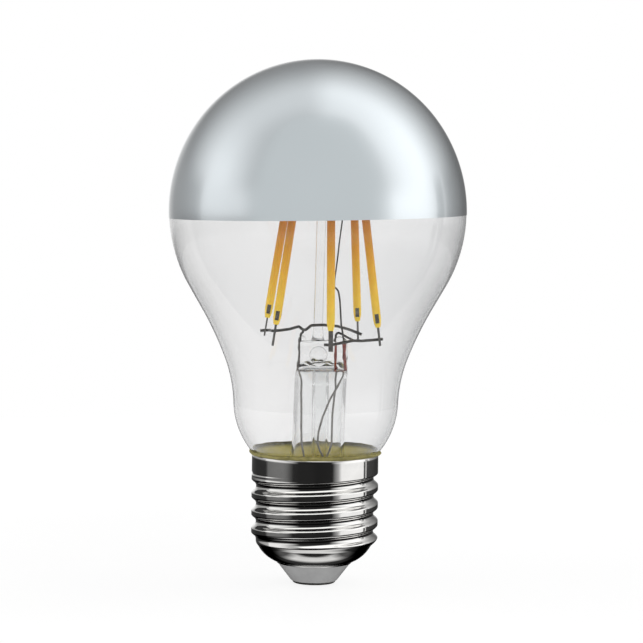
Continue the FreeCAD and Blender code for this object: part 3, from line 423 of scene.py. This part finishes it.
for name, ob in nodes.items():
    mat = SLOT_MATERIAL[slot_of[name]]
    if not ob.data.materials:
        ob.data.materials.append(mat)
    for slot in ob.material_slots:
        slot.link = "OBJECT"
        slot.material = mat


# ------------------------------------------------------------------ envelope outline
def arc(cx, cz, r, a0, a1, n):
    """Points and outward normals, the angle runs from the axis to the normal."""
    out = []
    for k in range(n + 1):
        a = math.radians(a0 + (a1 - a0) * k / n)
        out.append((cx + r * math.sin(a), cz + r * math.cos(a), math.sin(a), math.cos(a)))
    return out


def outline():
    pts = arc(0.0, 76.6504, 29.8696, 0.0, 56.721, 40)
    pts += arc(-1.5081, 75.6605, 31.6736, 56.721, 85.871, 24)[1:]
    pts += arc(0.3606, 75.7954, 29.8, 85.871, 119.970, 30)[1:]
    a = math.radians(119.970)
    x, z = pts[-1][0], pts[-1][1]
    for k in range(1, 5):
        pts.append((x + 5.299 * math.cos(a) * k / 4, z - 5.299 * math.sin(a) * k / 4, math.sin(a), math.cos(a)))

    def hollow(rad, start, end, n):
        x, z = pts[-1][0], pts[-1][1]
        s = math.radians(start)
        for k in range(1, n + 1):
            e = math.radians(start + (end - start) * k / n)
            pts.append((x + rad * (math.sin(s) - math.sin(e)), z + rad * (math.cos(s) - math.cos(e)), math.sin(e), math.cos(e)))

    hollow(72.695, 119.970, 111.121, 10)
    hollow(28.279, 111.121, 93.097, 12)
    a = math.radians(93.097)
    x, z = pts[-1][0], pts[-1][1]
    pts.append((x + 1.057 * math.cos(a), z - 1.057 * math.sin(a), math.sin(a), math.cos(a)))
    x, z = pts[-1][0], pts[-1][1]
    pts.extend(arc(x - 16.337 * math.sin(a), z - 16.337 * math.cos(a), 16.337, 93.097, 133.943, 22)[1:])
    hollow(2.945, 133.943, 90.0, 10)
    x = pts[-1][0]
    pts.append((x, 20.0, 1.0, 0.0))
    return pts


OUT = outline()
SHRINK = 0.03
WALL = 0.6


def offset(depth):
    return [(max(x - depth * nx, 0.0), z - depth * nz) for x, z, nx, nz in OUT]


# ------------------------------------------------------------------ envelope
outer = offset(SHRINK)
inner = offset(WALL)
outer[-1] = (outer[-1][0], 20.0)
inner[-1] = (inner[-1][0], 20.0)
outer[0], inner[0] = (0.0, outer[0][1]), (0.0, inner[0][1])
glass = lathe("bulb_glass", outer + inner[::-1], 224, closed_profile=False)
glass.data.materials.append(envelope_glass)
place(glass, "glass_envelope")

# ------------------------------------------------------------------ mirrored crown
# A film on the outside of the glass, cut by a plane that is 1.2 degrees out of square.
TILT = math.tan(math.radians(1.2))


def film_profile(depth, theta, n=70):
    """From the pole down to where the film meets the rim's plane at this angle."""
    pts = offset(depth)
    rim = []
    for (x0, z0), (x1, z1) in zip(pts, pts[1:]):
        rim.append((x0, z0))
        low0 = z0 - (74.86 + x0 * math.cos(theta) * TILT)
        low1 = z1 - (74.86 + x1 * math.cos(theta) * TILT)
        if low1 <= 0 < low0:
            s = low0 / (low0 - low1)
            rim.append((x0 + (x1 - x0) * s, z0 + (z1 - z0) * s))
            break
    # even spacing along the arc
    d = [0.0]
    for (x0, z0), (x1, z1) in zip(rim, rim[1:]):
        d.append(d[-1] + math.hypot(x1 - x0, z1 - z0))
    want = np.linspace(0, d[-1], n)
    return list(zip(np.interp(want, d, [p[0] for p in rim]), np.interp(want, d, [p[1] for p in rim])))


def film(name, n_theta=224, n=70):
    rings = []
    cols_out = [film_profile(-0.05, 2 * math.pi * k / n_theta, n) for k in range(n_theta)]
    cols_in = [film_profile(0.015, 2 * math.pi * k / n_theta, n) for k in range(n_theta)]
    for i in range(n):
        if i == 0:
            rings.append([(0.0, 0.0, cols_out[0][0][1])])
        else:
            rings.append([(cols_out[k][i][0] * math.cos(2 * math.pi * k / n_theta), cols_out[k][i][0] * math.sin(2 * math.pi * k / n_theta), cols_out[k][i][1]) for k in range(n_theta)])
    for i in range(n - 1, -1, -1):
        if i == 0:
            rings.append([(0.0, 0.0, cols_in[0][0][1])])
        else:
            rings.append([(cols_in[k][i][0] * math.cos(2 * math.pi * k / n_theta), cols_in[k][i][0] * math.sin(2 * math.pi * k / n_theta), cols_in[k][i][1]) for k in range(n_theta)])
    return grid_mesh(name, rings, closed_profile=False, sharp=50)


crown = film("crown_film")
crown.data.materials.append(mirror_coat)
place(crown, "mirror_crown")

# ------------------------------------------------------------------ screw cap shell
PITCH, CREST, ROOT, RR, LIP_Z, RIM_TOP, COLLAR = 3.629, 13.05, 12.0, 1.025, 4.15, 26.4, 12.9


def thread_radius(dz, r_crest, r_root):
    dz = np.abs(dz)
    cc, rc, half = CREST - RR, ROOT + RR, PITCH / 2
    dist = math.hypot(half, rc - cc)
    ux, ur = half / dist, (rc - cc) / dist
    lim_c, lim_r = r_crest * ux, half - r_root * ux
    a, b = cc + r_crest * ur, rc - r_root * ur
    top = cc + np.sqrt(np.maximum(r_crest ** 2 - dz ** 2, 0))
    low = rc - np.sqrt(np.maximum(r_root ** 2 - (half - dz) ** 2, 0))
    flank = a + (b - a) * (dz - lim_c) / (lim_r - lim_c)
    return np.where(dz <= lim_c, top, np.where(dz >= lim_r, low, flank))


def ease(s):
    s = np.clip(s, 0.0, 1.0)
    return s * s * (3 - 2 * s)


SKIRT = [(4.15, 7.62), (4.3, 7.73), (4.48, 7.93), (4.66, 8.34), (5.2, 9.28), (6.0, 10.28), (7.0, 11.12), (8.0, 11.7), (9.0, 11.98), (10.0, 12.02), (11.0, 12.03)]


def skin(theta, zs, w):
    """Radius of the shell's skin at one angle for all the heights."""
    dz = zs - 14.33 - PITCH * (theta - math.pi) / (2 * math.pi)
    dz = dz - PITCH * np.round(dz / PITCH)
    t = thread_radius(dz, RR - w, RR + w) - 0.01
    # the last crest runs out level with the collar
    t = np.minimum(t, COLLAR - w + 0.03 * ease((22.1 - zs) / 0.8))
    up = ease((22.9 - zs) / 0.9)
    r = (COLLAR - w) + (t - (COLLAR - w)) * up
    skirt = np.array([v[0] for v in smooth_rows(SKIRT, zs)]) - w
    down = ease((zs - 7.6) / 1.9)
    r = skirt + (r - skirt) * down
    if w == 0.0:
        s = np.clip((zs - RIM_TOP + 0.45) / 0.45, 0, 1)
        r = r - 0.10 * s * s
    return r


def cap_shell():
    n = 256
    zs_out = np.array(list(np.arange(LIP_Z, 4.96, 0.035)) + list(np.arange(5.0, 23.4, 0.098)) + [23.6, 24.2, 25.0, 25.7, 25.95, 26.05, 26.15, 26.25, 26.33, RIM_TOP])
    zs_in = np.array([LIP_Z, 4.4, 4.8, 5.4, 6.0, 7.0, 8.0] + list(np.arange(9.0, 23.2, 0.5)) + [24.0, 25.2, RIM_TOP])
    th = [2 * math.pi * k / n for k in range(n)]
    out_cols = [skin(t, zs_out, 0.0) for t in th]
    in_cols = [skin(t, zs_in, 0.32) for t in th]
    rings = [[(out_cols[k][i] * math.cos(th[k]), out_cols[k][i] * math.sin(th[k]), zs_out[i]) for k in range(n)] for i in range(len(zs_out))]
    rings += [[(in_cols[k][i] * math.cos(th[k]), in_cols[k][i] * math.sin(th[k]), zs_in[i]) for k in range(n)] for i in range(len(zs_in) - 1, -1, -1)]
    return grid_mesh("cap_shell", rings, closed_profile=True, sharp=60)


shell = cap_shell()
shell.data.materials.append(cap_metal)
place(shell, "screw_shell")

# ------------------------------------------------------------------ stem
SECTIONS = [(21.2, 0.0, 10.6, 10.45), (21.7, 0.04, 9.5, 9.35), (22.3, 0.09, 8.5, 8.35), (23.1, 0.16, 7.4, 7.25),
            (24.1, 0.26, 6.5, 6.35), (25.4, 0.36, 5.82, 5.67), (27.2, 0.48, 5.42, 5.27), (29.5, 0.58, 5.3, 5.15),
            (32.5, 0.68, 5.27, 5.12), (40.6, 0.92, 5.28, 5.13), (41.2, 0.95, 5.29, 4.9), (41.9, 0.98, 5.3, 4.55),
            (42.6, 1.02, 5.3, 4.15), (43.3, 1.08, 5.27, 3.45), (44.0, 1.15, 5.22, 2.8), (44.7, 1.21, 5.16, 2.28),
            (45.4, 1.26, 5.1, 1.9), (46.2, 1.3, 5.05, 1.65), (47.2, 1.3, 5.03, 1.56), (49.7, 1.3, 5.03, 1.55)]
BORE = [(21.2, 0.0, 9.85, 9.7), (21.7, 0.04, 8.8, 8.65), (22.3, 0.09, 7.82, 7.66), (23.1, 0.16, 6.74, 6.58),
        (24.1, 0.26, 5.85, 5.68), (25.4, 0.36, 5.18, 5.0), (27.2, 0.48, 4.8, 4.63), (29.5, 0.58, 4.68, 4.52),
        (32.5, 0.68, 4.65, 4.49), (40.4, 0.91, 4.66, 4.5), (41.0, 0.94, 4.67, 4.3), (41.7, 0.97, 4.68, 4.03),
        (42.4, 1.01, 4.7, 3.42), (43.0, 1.05, 4.71, 2.7), (43.6, 1.1, 4.72, 1.9)]
AROUND = 120


def stadium_ring(z, cx, half, thick):
    """Even points on a rounded bar outline, half wide and thick deep."""
    flat = max(half - thick, 0.0)
    total = 4 * flat + 2 * math.pi * thick
    ring = []
    for k in range(AROUND):
        s = total * k / AROUND
        if s < math.pi * thick / 2:
            a = s / thick
            ring.append((cx + flat + thick * math.cos(a), thick * math.sin(a), z))
        elif s < math.pi * thick / 2 + 2 * flat:
            ring.append((cx + flat - (s - math.pi * thick / 2), thick, z))
        elif s < math.pi * thick * 1.5 + 2 * flat:
            a = math.pi / 2 + (s - math.pi * thick / 2 - 2 * flat) / thick
            ring.append((cx - flat + thick * math.cos(a), thick * math.sin(a), z))
        elif s < math.pi * thick * 1.5 + 4 * flat:
            ring.append((cx - flat + (s - math.pi * thick * 1.5 - 2 * flat), -thick, z))
        else:
            a = 1.5 * math.pi + (s - math.pi * thick * 1.5 - 4 * flat) / thick
            ring.append((cx + flat + thick * math.cos(a), thick * math.sin(a), z))
    return ring


def stem():
    zs = list(np.linspace(21.2, 25.4, 16)) + list(np.linspace(26.0, 40.0, 12)) + list(np.linspace(40.4, 47.4, 24)) + [48.2, 49.1]
    rings = [stadium_ring(20.0, 0.0, 10.76, 10.75), stadium_ring(21.0, 0.0, 10.76, 10.75)]
    rings += [stadium_ring(z, *v) for z, v in zip(zs, smooth_rows(SECTIONS, zs))]
    # rounded shoulder at the top of the press
    for dz, inset in ((49.36, 0.05), (49.55, 0.16), (49.66, 0.34), (49.7, 0.6)):
        rings.append(stadium_ring(dz, 1.3, 5.03 - inset, 1.55 - inset))
    rings.append([(1.3, 0.0, 49.7)])
    zb = list(np.linspace(21.2, 25.4, 14)) + list(np.linspace(26.0, 40.0, 10)) + list(np.linspace(40.4, 43.2, 9))
    bore = [stadium_ring(z, *v) for z, v in zip(zb, smooth_rows(BORE, zb))]
    bore += [stadium_ring(43.5, 1.08, 4.6, 2.0), stadium_ring(43.75, 1.1, 4.2, 1.3), stadium_ring(43.85, 1.1, 3.4, 0.6), [(1.1, 0.0, 43.87)]]
    bore = [stadium_ring(20.0, 0.0, 10.1, 10.09)] + bore
    ob = grid_mesh("stem_glass_flare", rings[::-1] + bore, closed_profile=False)
    return ob


def blob(name, centre, radii, rows=24, around=48, squash_top=0.0):
    profile = []
    for k in range(rows + 1):
        a = math.pi * k / rows
        profile.append((math.sin(a), math.cos(a)))
    rings = []
    for s, c in profile:
        if s < 1e-6:
            rings.append([(centre[0], centre[1], centre[2] + radii[2] * c)])
        else:
            rings.append([(centre[0] + radii[0] * s * math.cos(2 * math.pi * j / around), centre[1] + radii[1] * s * math.sin(2 * math.pi * j / around), centre[2] + radii[2] * c) for j in range(around)])
    return grid_mesh(name, rings, closed_profile=False)


def boolean(target, tool, how):
    mod = target.modifiers.new("cut", "BOOLEAN")
    mod.operation = how
    mod.solver = "EXACT"
    mod.object = tool
    dg = bpy.context.evaluated_depsgraph_get()
    me = bpy.data.meshes.new_from_object(target.evaluated_get(dg))
    target.modifiers.remove(mod)
    old = target.data
    target.data = me
    me.name = old.name
    bpy.data.meshes.remove(old)
    bpy.data.objects.remove(tool)
    return target


flare = stem()
# the pinched glass is never quite even
for v in flare.data.vertices:
    x, y, z = v.co.x / MM, v.co.y / MM, v.co.z / MM
    if z > 40.6:
        w = min((z - 40.6) / 2.2, 1.0)
        v.co.x += MM * w * (0.06 * math.sin(1.9 * z + 0.7) + 0.04 * math.sin(3.7 * z + 1.1 * x))
        v.co.y += MM * w * (0.07 * math.sin(1.3 * x + 1.6 * z) + 0.035 * math.sin(2.9 * x - 2.3 * z + 0.5))
        if z > 48.9:
            v.co.z += MM * (0.20 * math.sin(0.95 * x + 0.4) + 0.12 * math.sin(2.2 * x + 1.3))
# the two ears of glass round the leads, and the blow hole
boolean(flare, blob("ear_left", (-2.9, 0.0, 49.6), (0.85, 1.1, 1.15)), "UNION")
boolean(flare, blob("ear_right", (4.75, 0.0, 49.5), (1.5, 1.1, 1.1)), "UNION")
boolean(flare, blob("hole", (0.45, -1.0, 46.8), (1.85, 1.85, 1.85), 32, 64), "DIFFERENCE")
flare.data.polygons.foreach_set("use_smooth", [True] * len(flare.data.polygons))
sharpen(flare, 38)
flare.data.materials.clear()
flare.data.materials.append(stem_glass)
place(flare, "stem_flare")


# ------------------------------------------------------------------ smooth copies of turned and drawn pieces
def smooth_copy(node, new_name, angle=35):
    """The same solid with its shading smoothed; the post is cut into short rows so that its long walls stay straight."""
    src = nodes[node]
    me = src.data.copy()
    bm = bmesh.new()
    bm.from_mesh(me)
    bmesh.ops.remove_doubles(bm, verts=bm.verts, dist=1e-7)
    zs = [v.co.z for v in bm.verts] if node == "glass_post" else [0.0]
    for z in np.arange(min(zs) + 0.0007, max(zs), 0.0021):
        bmesh.ops.bisect_plane(bm, geom=bm.verts[:] + bm.edges[:] + bm.faces[:], plane_co=(0, 0, float(z)), plane_no=(0, 0, 1))
    bm.to_mesh(me)
    bm.free()
    me.name = new_name
    ob = bpy.data.objects.new(new_name, me)
    scene.collection.objects.link(ob)
    me.polygons.foreach_set("use_smooth", [True] * len(me.polygons))
    me.set_sharp_from_angle(angle=math.radians(angle))
    me.materials.clear()
    me.materials.append(SLOT_MATERIAL[slot_of[node]])
    place(ob, node)
    return ob


SMOOTH = {"exhaust_tube": "exhaust_glass", "glass_post": "post_glass"}
for node, new_name in SMOOTH.items():
    smooth_copy(node, new_name)

# ------------------------------------------------------------------ basing cement, squeezed out in a ragged ring
rng = np.random.default_rng(7)


def wobble(theta, seeds):
    return sum(a * math.sin(f * theta + p) for f, a, p in seeds)


def cement_ring():
    n = 200
    s1 = [(f, 0.16 / (1 + 0.25 * f), rng.uniform(0, 6.28)) for f in (2, 3, 5, 8, 13, 21, 34, 55)]
    s2 = [(f, 0.12 / (1 + 0.15 * f), rng.uniform(0, 6.28)) for f in (3, 4, 7, 11, 18, 29, 47)]
    s3 = [(f, 0.10 / (1 + 0.1 * f), rng.uniform(0, 6.28)) for f in (5, 9, 14, 23, 37, 60)]
    glass_r = offset(0.0)

    def r_glass(z):
        for (x0, z0), (x1, z1) in zip(glass_r, glass_r[1:]):
            if z1 <= z <= z0:
                return x0 + (x1 - x0) * (z0 - z) / max(z0 - z1, 1e-9)
        return glass_r[-1][0]

    th = [2 * math.pi * k / n for k in range(n)]
    # from the inside foot up the glass, over the bead, out over the rim and down inside the shell
    rings = []
    for r, z, follow in ((None, 22.9, 0), (None, 24.2, 0), (None, 25.6, 0), (None, 26.4, 0.4), (None, 26.95, 0.7), (None, 27.25, 0.8)):
        ring = []
        for t in th:
            zz = z + follow * wobble(t, s1) * 0.9
            rr = r_glass(zz) + 0.02
            ring.append((rr * math.cos(t), rr * math.sin(t), zz))
        rings.append(ring)
    for up, out in ((27.35, 0.22), (27.25, 0.55), (26.98, 0.82), (26.7, 0.8)):
        ring = []
        for t in th:
            zz = up + wobble(t, s1) * 0.7 + wobble(t, s3) * 0.35
            rr = max(min(r_glass(27.3), 12.6) + out + wobble(t, s2) * 0.8, 12.62)
            ring.append((rr * math.cos(t), rr * math.sin(t), min(zz, 27.66)))
        rings.append(ring)
    for r, z in ((12.86, 26.43), (12.58, 26.42), (12.58, 25.0), (12.58, 22.9)):
        rings.append([(r * math.cos(t), r * math.sin(t), z) for t in th])
    ob = grid_mesh("cement_ring", rings, closed_profile=True, sharp=60)
    return ob


ring = cement_ring()
ring.data.materials.append(cement)
place(ring, "basing_cement")

# ------------------------------------------------------------------ floor, camera, light
fl = Mat("studio_floor")
fl.set(Roughness=0.6, Emission_Color=(1, 1, 1, 1), Emission_Strength=0.84)
fl.link(fl.ramp(fl.noise(9, 3.0, 0.5), [(0.3, (0.085, 0.085, 0.085)), (0.7, (0.10, 0.10, 0.10))]), fl.bsdf.inputs["Base Color"])
floor = new_mesh("studio_floor", [(0.32 * math.cos(2 * math.pi * k / 96), 0.32 * math.sin(2 * math.pi * k / 96), -0.00002) for k in range(96)], [tuple(range(96))], smooth=False)
floor.data.materials.append(fl.m)
floor.visible_glossy = False
# a diffusing screen in front of the crown, in the upper half only
sc = Mat("front_screen")
sc.t.nodes.remove(sc.bsdf)
tcs = sc.node("ShaderNodeTexCoord")
sps = sc.node("ShaderNodeSeparateXYZ")
sc.link(tcs.outputs["Object"], sps.inputs[0])
across = sc.span(sc.math("ABSOLUTE", sps.outputs["X"]), 0.046, 0.082, 1.0, 0.0)
foot_of = sc.span(sps.outputs["Z"], 0.050, 0.060, 0.0, 1.0)
head_of = sc.span(sps.outputs["Z"], 0.20, 0.30, 1.0, 0.0)
glow = sc.node("ShaderNodeEmission")
glow.inputs["Color"].default_value = (0.98, 1.0, 1.0, 1)
glow.inputs["Strength"].default_value = 0.66
clear = sc.node("ShaderNodeBsdfTransparent")
cover = sc.node("ShaderNodeMixShader")
sc.link(sc.math("MULTIPLY", sc.math("MULTIPLY", across, foot_of), head_of), cover.inputs[0])
sc.link(clear.outputs[0], cover.inputs[1])
sc.link(glow.outputs[0], cover.inputs[2])
sc.link(cover.outputs[0], sc.out.inputs["Surface"])
screen = new_mesh("front_screen", [(-0.085, -0.064, 0.048), (0.085, -0.064, 0.048), (0.085, -0.064, 0.31), (-0.085, -0.064, 0.31)], [(3, 2, 1, 0)], smooth=False)
screen.data.materials.append(sc.m)
for flag in ("visible_camera", "visible_transmission", "visible_shadow"):
    setattr(screen, flag, False)
# a bright ring of cloth under the crown lights the cap from above, its upper side is dark
can = Mat("ring_screen")
can.t.nodes.remove(can.bsdf)
tcr = can.node("ShaderNodeTexCoord")
spr = can.node("ShaderNodeSeparateXYZ")
can.link(tcr.outputs["Object"], spr.inputs[0])
turn = can.math("ARCTAN2", can.math("ABSOLUTE", spr.outputs["X"]), can.math("MULTIPLY", spr.outputs["Y"], -1.0))
ends = can.ramp(can.math("DIVIDE", turn, math.pi), [(0.0, 1.0), (0.34, 1.0), (0.50, 0.12), (1.0, 0.05)])
under = can.node("ShaderNodeNewGeometry")
lamp = can.node("ShaderNodeEmission")
lamp.inputs["Color"].default_value = (1, 1, 0.99, 1)
can.link(can.math("MULTIPLY", can.math("MULTIPLY", ends, 1.25), can.math("SUBTRACT", 1.0, under.outputs["Backfacing"])), lamp.inputs["Strength"])
can.link(lamp.outputs[0], can.out.inputs["Surface"])
ring_v, ring_f = [], []
for k in range(121):
    a = -math.pi / 2 + math.radians(-120 + 2 * k)
    for r in (0.0245, 0.034, 0.044, 0.053):
        ring_v.append((r * math.cos(a), r * math.sin(a), 0.050))
for k in range(120):
    for j in range(3):
        i = k * 4 + j
        ring_f.append((i, i + 4, i + 5, i + 1))
ring_screen = new_mesh("ring_screen", ring_v, ring_f, smooth=False)
ring_screen.data.materials.append(can.m)
for flag in ("visible_camera", "visible_transmission", "visible_shadow", "visible_diffuse"):
    setattr(ring_screen, flag, False)
# a dark cloth behind the left side keeps the left flanks of the thread dark
shade = Mat("side_cloth")
shade.t.nodes.remove(shade.bsdf)
dim_glow = shade.node("ShaderNodeEmission")
shade.link(shade.ramp(shade.noise(30, 2.0, 0.5), [(0.3, 0.03), (0.7, 0.05)]), dim_glow.inputs["Color"])
shade.link(dim_glow.outputs[0], shade.out.inputs["Surface"])
cloth_v, cloth_f = [], []
for k in range(41):
    a = math.radians(108 + 1.75 * k)
    for r in (0.0535, 0.08, 0.11, 0.15):
        cloth_v.append((-r * math.sin(a), -r * math.cos(a), 0.0502))
for k in range(40):
    for j in range(3):
        i = k * 4 + j
        cloth_f.append((i, i + 1, i + 5, i + 4))
side_cloth = new_mesh("side_cloth", cloth_v, cloth_f, smooth=False)
side_cloth.data.materials.append(shade.m)
for flag in ("visible_camera", "visible_transmission", "visible_shadow", "visible_diffuse"):
    setattr(side_cloth, flag, False)

p, rho = math.radians(3.9758), math.radians(0.62)
fwd = Vector((0, math.cos(p), -math.sin(p)))
lift = Vector((0, math.sin(p), math.cos(p)))
right = Vector((1, 0, 0)) * math.cos(rho) + lift * math.sin(rho)
up = lift * math.cos(rho) - Vector((1, 0, 0)) * math.sin(rho)
cam_data = bpy.data.cameras.new("camera")
cam_data.sensor_width = 36.0
cam_data.lens = 146.293
cam_data.clip_start, cam_data.clip_end = 0.05, 20.0
cam = bpy.data.objects.new("camera", cam_data)
scene.collection.objects.link(cam)
rot = Matrix((right, up, -fwd)).transposed().to_4x4()
cam.matrix_world = Matrix.Translation(Vector((0.001, -0.53, 0.0903))) @ rot
scene.camera = cam

# The studio is painted on the world: a soft tent overhead with a long soft light at each side.
world = bpy.data.worlds.new("studio")
scene.world = world
world.use_nodes = True
wt = world.node_tree
wt.nodes.clear()


def wnode(kind, **kw):
    n = wt.nodes.new(kind)
    for key, v in kw.items():
        setattr(n, key, v)
    return n


def wmath(op, a, b=None, c=None, clamp=False):
    n = wnode("ShaderNodeMath", operation=op, use_clamp=clamp)
    for i, v in enumerate((a, b, c)):
        if v is None:
            continue
        if isinstance(v, (int, float)):
            n.inputs[i].default_value = v
        else:
            wt.links.new(v, n.inputs[i])
    return n.outputs[0]


def wramp(fac, stops, top):
    """Brightness by position, up to the value top."""
    r = wnode("ShaderNodeValToRGB")
    r.color_ramp.interpolation = "LINEAR"
    while len(r.color_ramp.elements) < len(stops):
        r.color_ramp.elements.new(0.5)
    for e, (q, v) in zip(r.color_ramp.elements, stops):
        e.position = q
        e.color = (v / top, v / top, v / top, 1)
    wt.links.new(fac, r.inputs["Fac"])
    return wmath("MULTIPLY", r.outputs["Color"], top)


tc = wnode("ShaderNodeTexCoord")
sep = wnode("ShaderNodeSeparateXYZ")
wt.links.new(tc.outputs["Generated"], sep.inputs[0])
dx, dy, dz = sep.outputs
d = 1 / 180.0
# angle from the front, 0 to 180, and the height above the horizon
level = wmath("DIVIDE", wmath("ARCCOSINE", wmath("MULTIPLY", dy, -1.0)), math.pi)
tipped = wmath("DIVIDE", wmath("ARCCOSINE", wmath("ADD", wmath("MULTIPLY", dy, -math.cos(math.radians(11))), wmath("MULTIPLY", dz, math.sin(math.radians(11))))), math.pi)
elev = wmath("ADD", wmath("DIVIDE", wmath("ARCSINE", dz), math.pi), 0.5)


def at(degrees):
    return 0.5 + degrees / 180.0


# the lights overhead have soft edges, their feet near the horizon are cut off sharply
right_soft = wramp(tipped, [(0, 0.02), (30 * d, 0.03), (40 * d, 0.2), (54 * d, 0.8), (70 * d, 1.15), (90 * d, 1.3), (98 * d, 1.15), (108 * d, 0.82), (118 * d, 0.58), (130 * d, 0.35), (150 * d, 0.16), (172 * d, 0.3), (180 * d, 0.6)], 2.5)
right_low = wramp(level, [(0, 0.015), (33 * d, 0.02), (44 * d, 0.4), (50 * d, 0.95), (60 * d, 1.0), (96 * d, 1.0), (99.5 * d, 1.0), (100.5 * d, 0.05), (104.5 * d, 0.05), (105.5 * d, 0.8), (107 * d, 0.8), (108 * d, 0.06), (150 * d, 0.03), (164 * d, 0.06), (180 * d, 0.6)], 2.5)
right_mid = wramp(level, [(0, 0.015), (30 * d, 0.02), (40 * d, 0.6), (52 * d, 1.05), (64 * d, 1.25), (90 * d, 1.25), (103.5 * d, 1.1), (104.5 * d, 0.38), (113 * d, 0.5), (114 * d, 0.95), (116 * d, 0.95), (117 * d, 0.46), (130 * d, 0.32), (150 * d, 0.16), (164 * d, 0.15), (180 * d, 0.6)], 2.5)
left_soft = wramp(tipped, [(0, 0.02), (34 * d, 0.03), (46 * d, 0.35), (62 * d, 0.75), (78 * d, 1.0), (92 * d, 1.0), (104 * d, 0.78), (118 * d, 0.5), (130 * d, 0.32), (145 * d, 0.23), (160 * d, 0.5), (172 * d, 0.9), (180 * d, 1.0)], 2.5)
left_low = wramp(level, [(0, 0.02), (40 * d, 0.02), (52 * d, 0.14), (60 * d, 0.18), (80 * d, 0.18), (94 * d, 0.16), (100.2 * d, 0.03), (130 * d, 0.03), (150 * d, 0.05), (166 * d, 0.1), (180 * d, 0.2)], 2.5)
left_mid = wramp(level, [(0, 0.015), (30 * d, 0.02), (42 * d, 0.5), (56 * d, 0.85), (80 * d, 0.92), (100 * d, 0.97), (102 * d, 0.5), (125 * d, 0.38), (145 * d, 0.34), (160 * d, 0.6), (172 * d, 1.0), (180 * d, 1.0)], 2.5)
foot = wramp(elev, [(0.0, 1.0), (at(9), 1.0), (at(18), 0.0), (1.0, 0.0)], 1.0)


def blend(a, b, fac):
    return wmath("ADD", wmath("MULTIPLY", a, wmath("SUBTRACT", 1.0, fac)), wmath("MULTIPLY", b, fac))


lowest = wramp(elev, [(0.0, 1.0), (at(-6.5), 1.0), (at(-4.0), 0.0), (1.0, 0.0)], 1.0)
high_left = wramp(elev, [(0.0, 1.0), (at(26), 1.0), (at(50), 0.78), (1.0, 0.76)], 1.0)
high_right = wramp(elev, [(0.0, 1.0), (at(40), 1.0), (at(66), 0.88), (1.0, 0.82)], 1.0)
tent_right = blend(wmath("MULTIPLY", right_soft, high_right), blend(right_mid, right_low, lowest), foot)
tent_left = blend(wmath("MULTIPLY", left_soft, high_left), blend(left_mid, left_low, lowest), foot)
side = wmath("ADD", wmath("MULTIPLY", dx, 5.0), 0.45, clamp=True)
tent = blend(tent_left, tent_right, side)
# pale floor seen from above, and a dark band between it and the horizon
below = wramp(elev, [(0.0, 1.0), (at(-50), 1.0), (at(-40), 0.0), (1.0, 0.0)], 1.0)
deep = wramp(wmath("ADD", wmath("MULTIPLY", dy, 0.5), 0.5), [(0.0, 0.02), (0.40, 0.02), (0.46, 0.7), (0.60, 0.8), (0.68, 0.35), (0.73, 0.03), (1.0, 0.03)], 1.0)
ground = wmath("MULTIPLY", wmath("MULTIPLY", below, deep), wramp(wmath("ABSOLUTE", dx), [(0.0, 1.0), (0.34, 1.0), (0.52, 0.12), (1.0, 0.04)], 1.0))
band = wramp(elev, [(0.0, 0.0), (at(-24), 0.0), (at(-13), 1.0), (1.0, 1.0)], 1.0)
studio = wmath("ADD", wmath("MULTIPLY", tent, band), ground)
path = wnode("ShaderNodeLightPath")
# what the camera meets directly or through clear glass alone is plain white
seen = wmath("MAXIMUM", path.outputs["Is Camera Ray"], wmath("MULTIPLY", path.outputs["Is Transmission Ray"], wmath("LESS_THAN", wmath("ADD", path.outputs["Diffuse Depth"], path.outputs["Glossy Depth"]), 0.5)))
soft = wmath("MAXIMUM", wmath("GREATER_THAN", path.outputs["Diffuse Depth"], 0.5), path.outputs["Is Diffuse Ray"])
lit = wmath("ADD", studio, wmath("MULTIPLY", soft, 1.25))
# reflections between the glass walls meet the white surroundings of the set, at half strength
inner = wmath("MULTIPLY", wmath("GREATER_THAN", path.outputs["Transmission Depth"], 0.5), wmath("SUBTRACT", 1.0, soft))
lit = blend(lit, wmath("ADD", wmath("MULTIPLY", lit, 0.4), 0.6), inner)
value = wmath("ADD", wmath("MULTIPLY", seen, 1.0), wmath("MULTIPLY", wmath("SUBTRACT", 1.0, seen), lit))
comb = wnode("ShaderNodeCombineColor")
wt.links.new(value, comb.inputs[0])
wt.links.new(value, comb.inputs[1])
wt.links.new(value, comb.inputs[2])
bg = wnode("ShaderNodeBackground")
wt.links.new(comb.outputs[0], bg.inputs["Color"])
wo = wnode("ShaderNodeOutputWorld")
wt.links.new(bg.outputs[0], wo.inputs["Surface"])

scene.view_settings.view_transform = "Standard"
scene.view_settings.look = "None"
scene.view_settings.exposure = 0.0
scene.view_settings.gamma = 1.0
scene.cycles.max_bounces = 28
scene.cycles.transmission_bounces = 24
scene.cycles.glossy_bounces = 8
scene.cycles.transparent_max_bounces = 24
scene.cycles.use_denoising = True

bpy.context.view_layer.update()
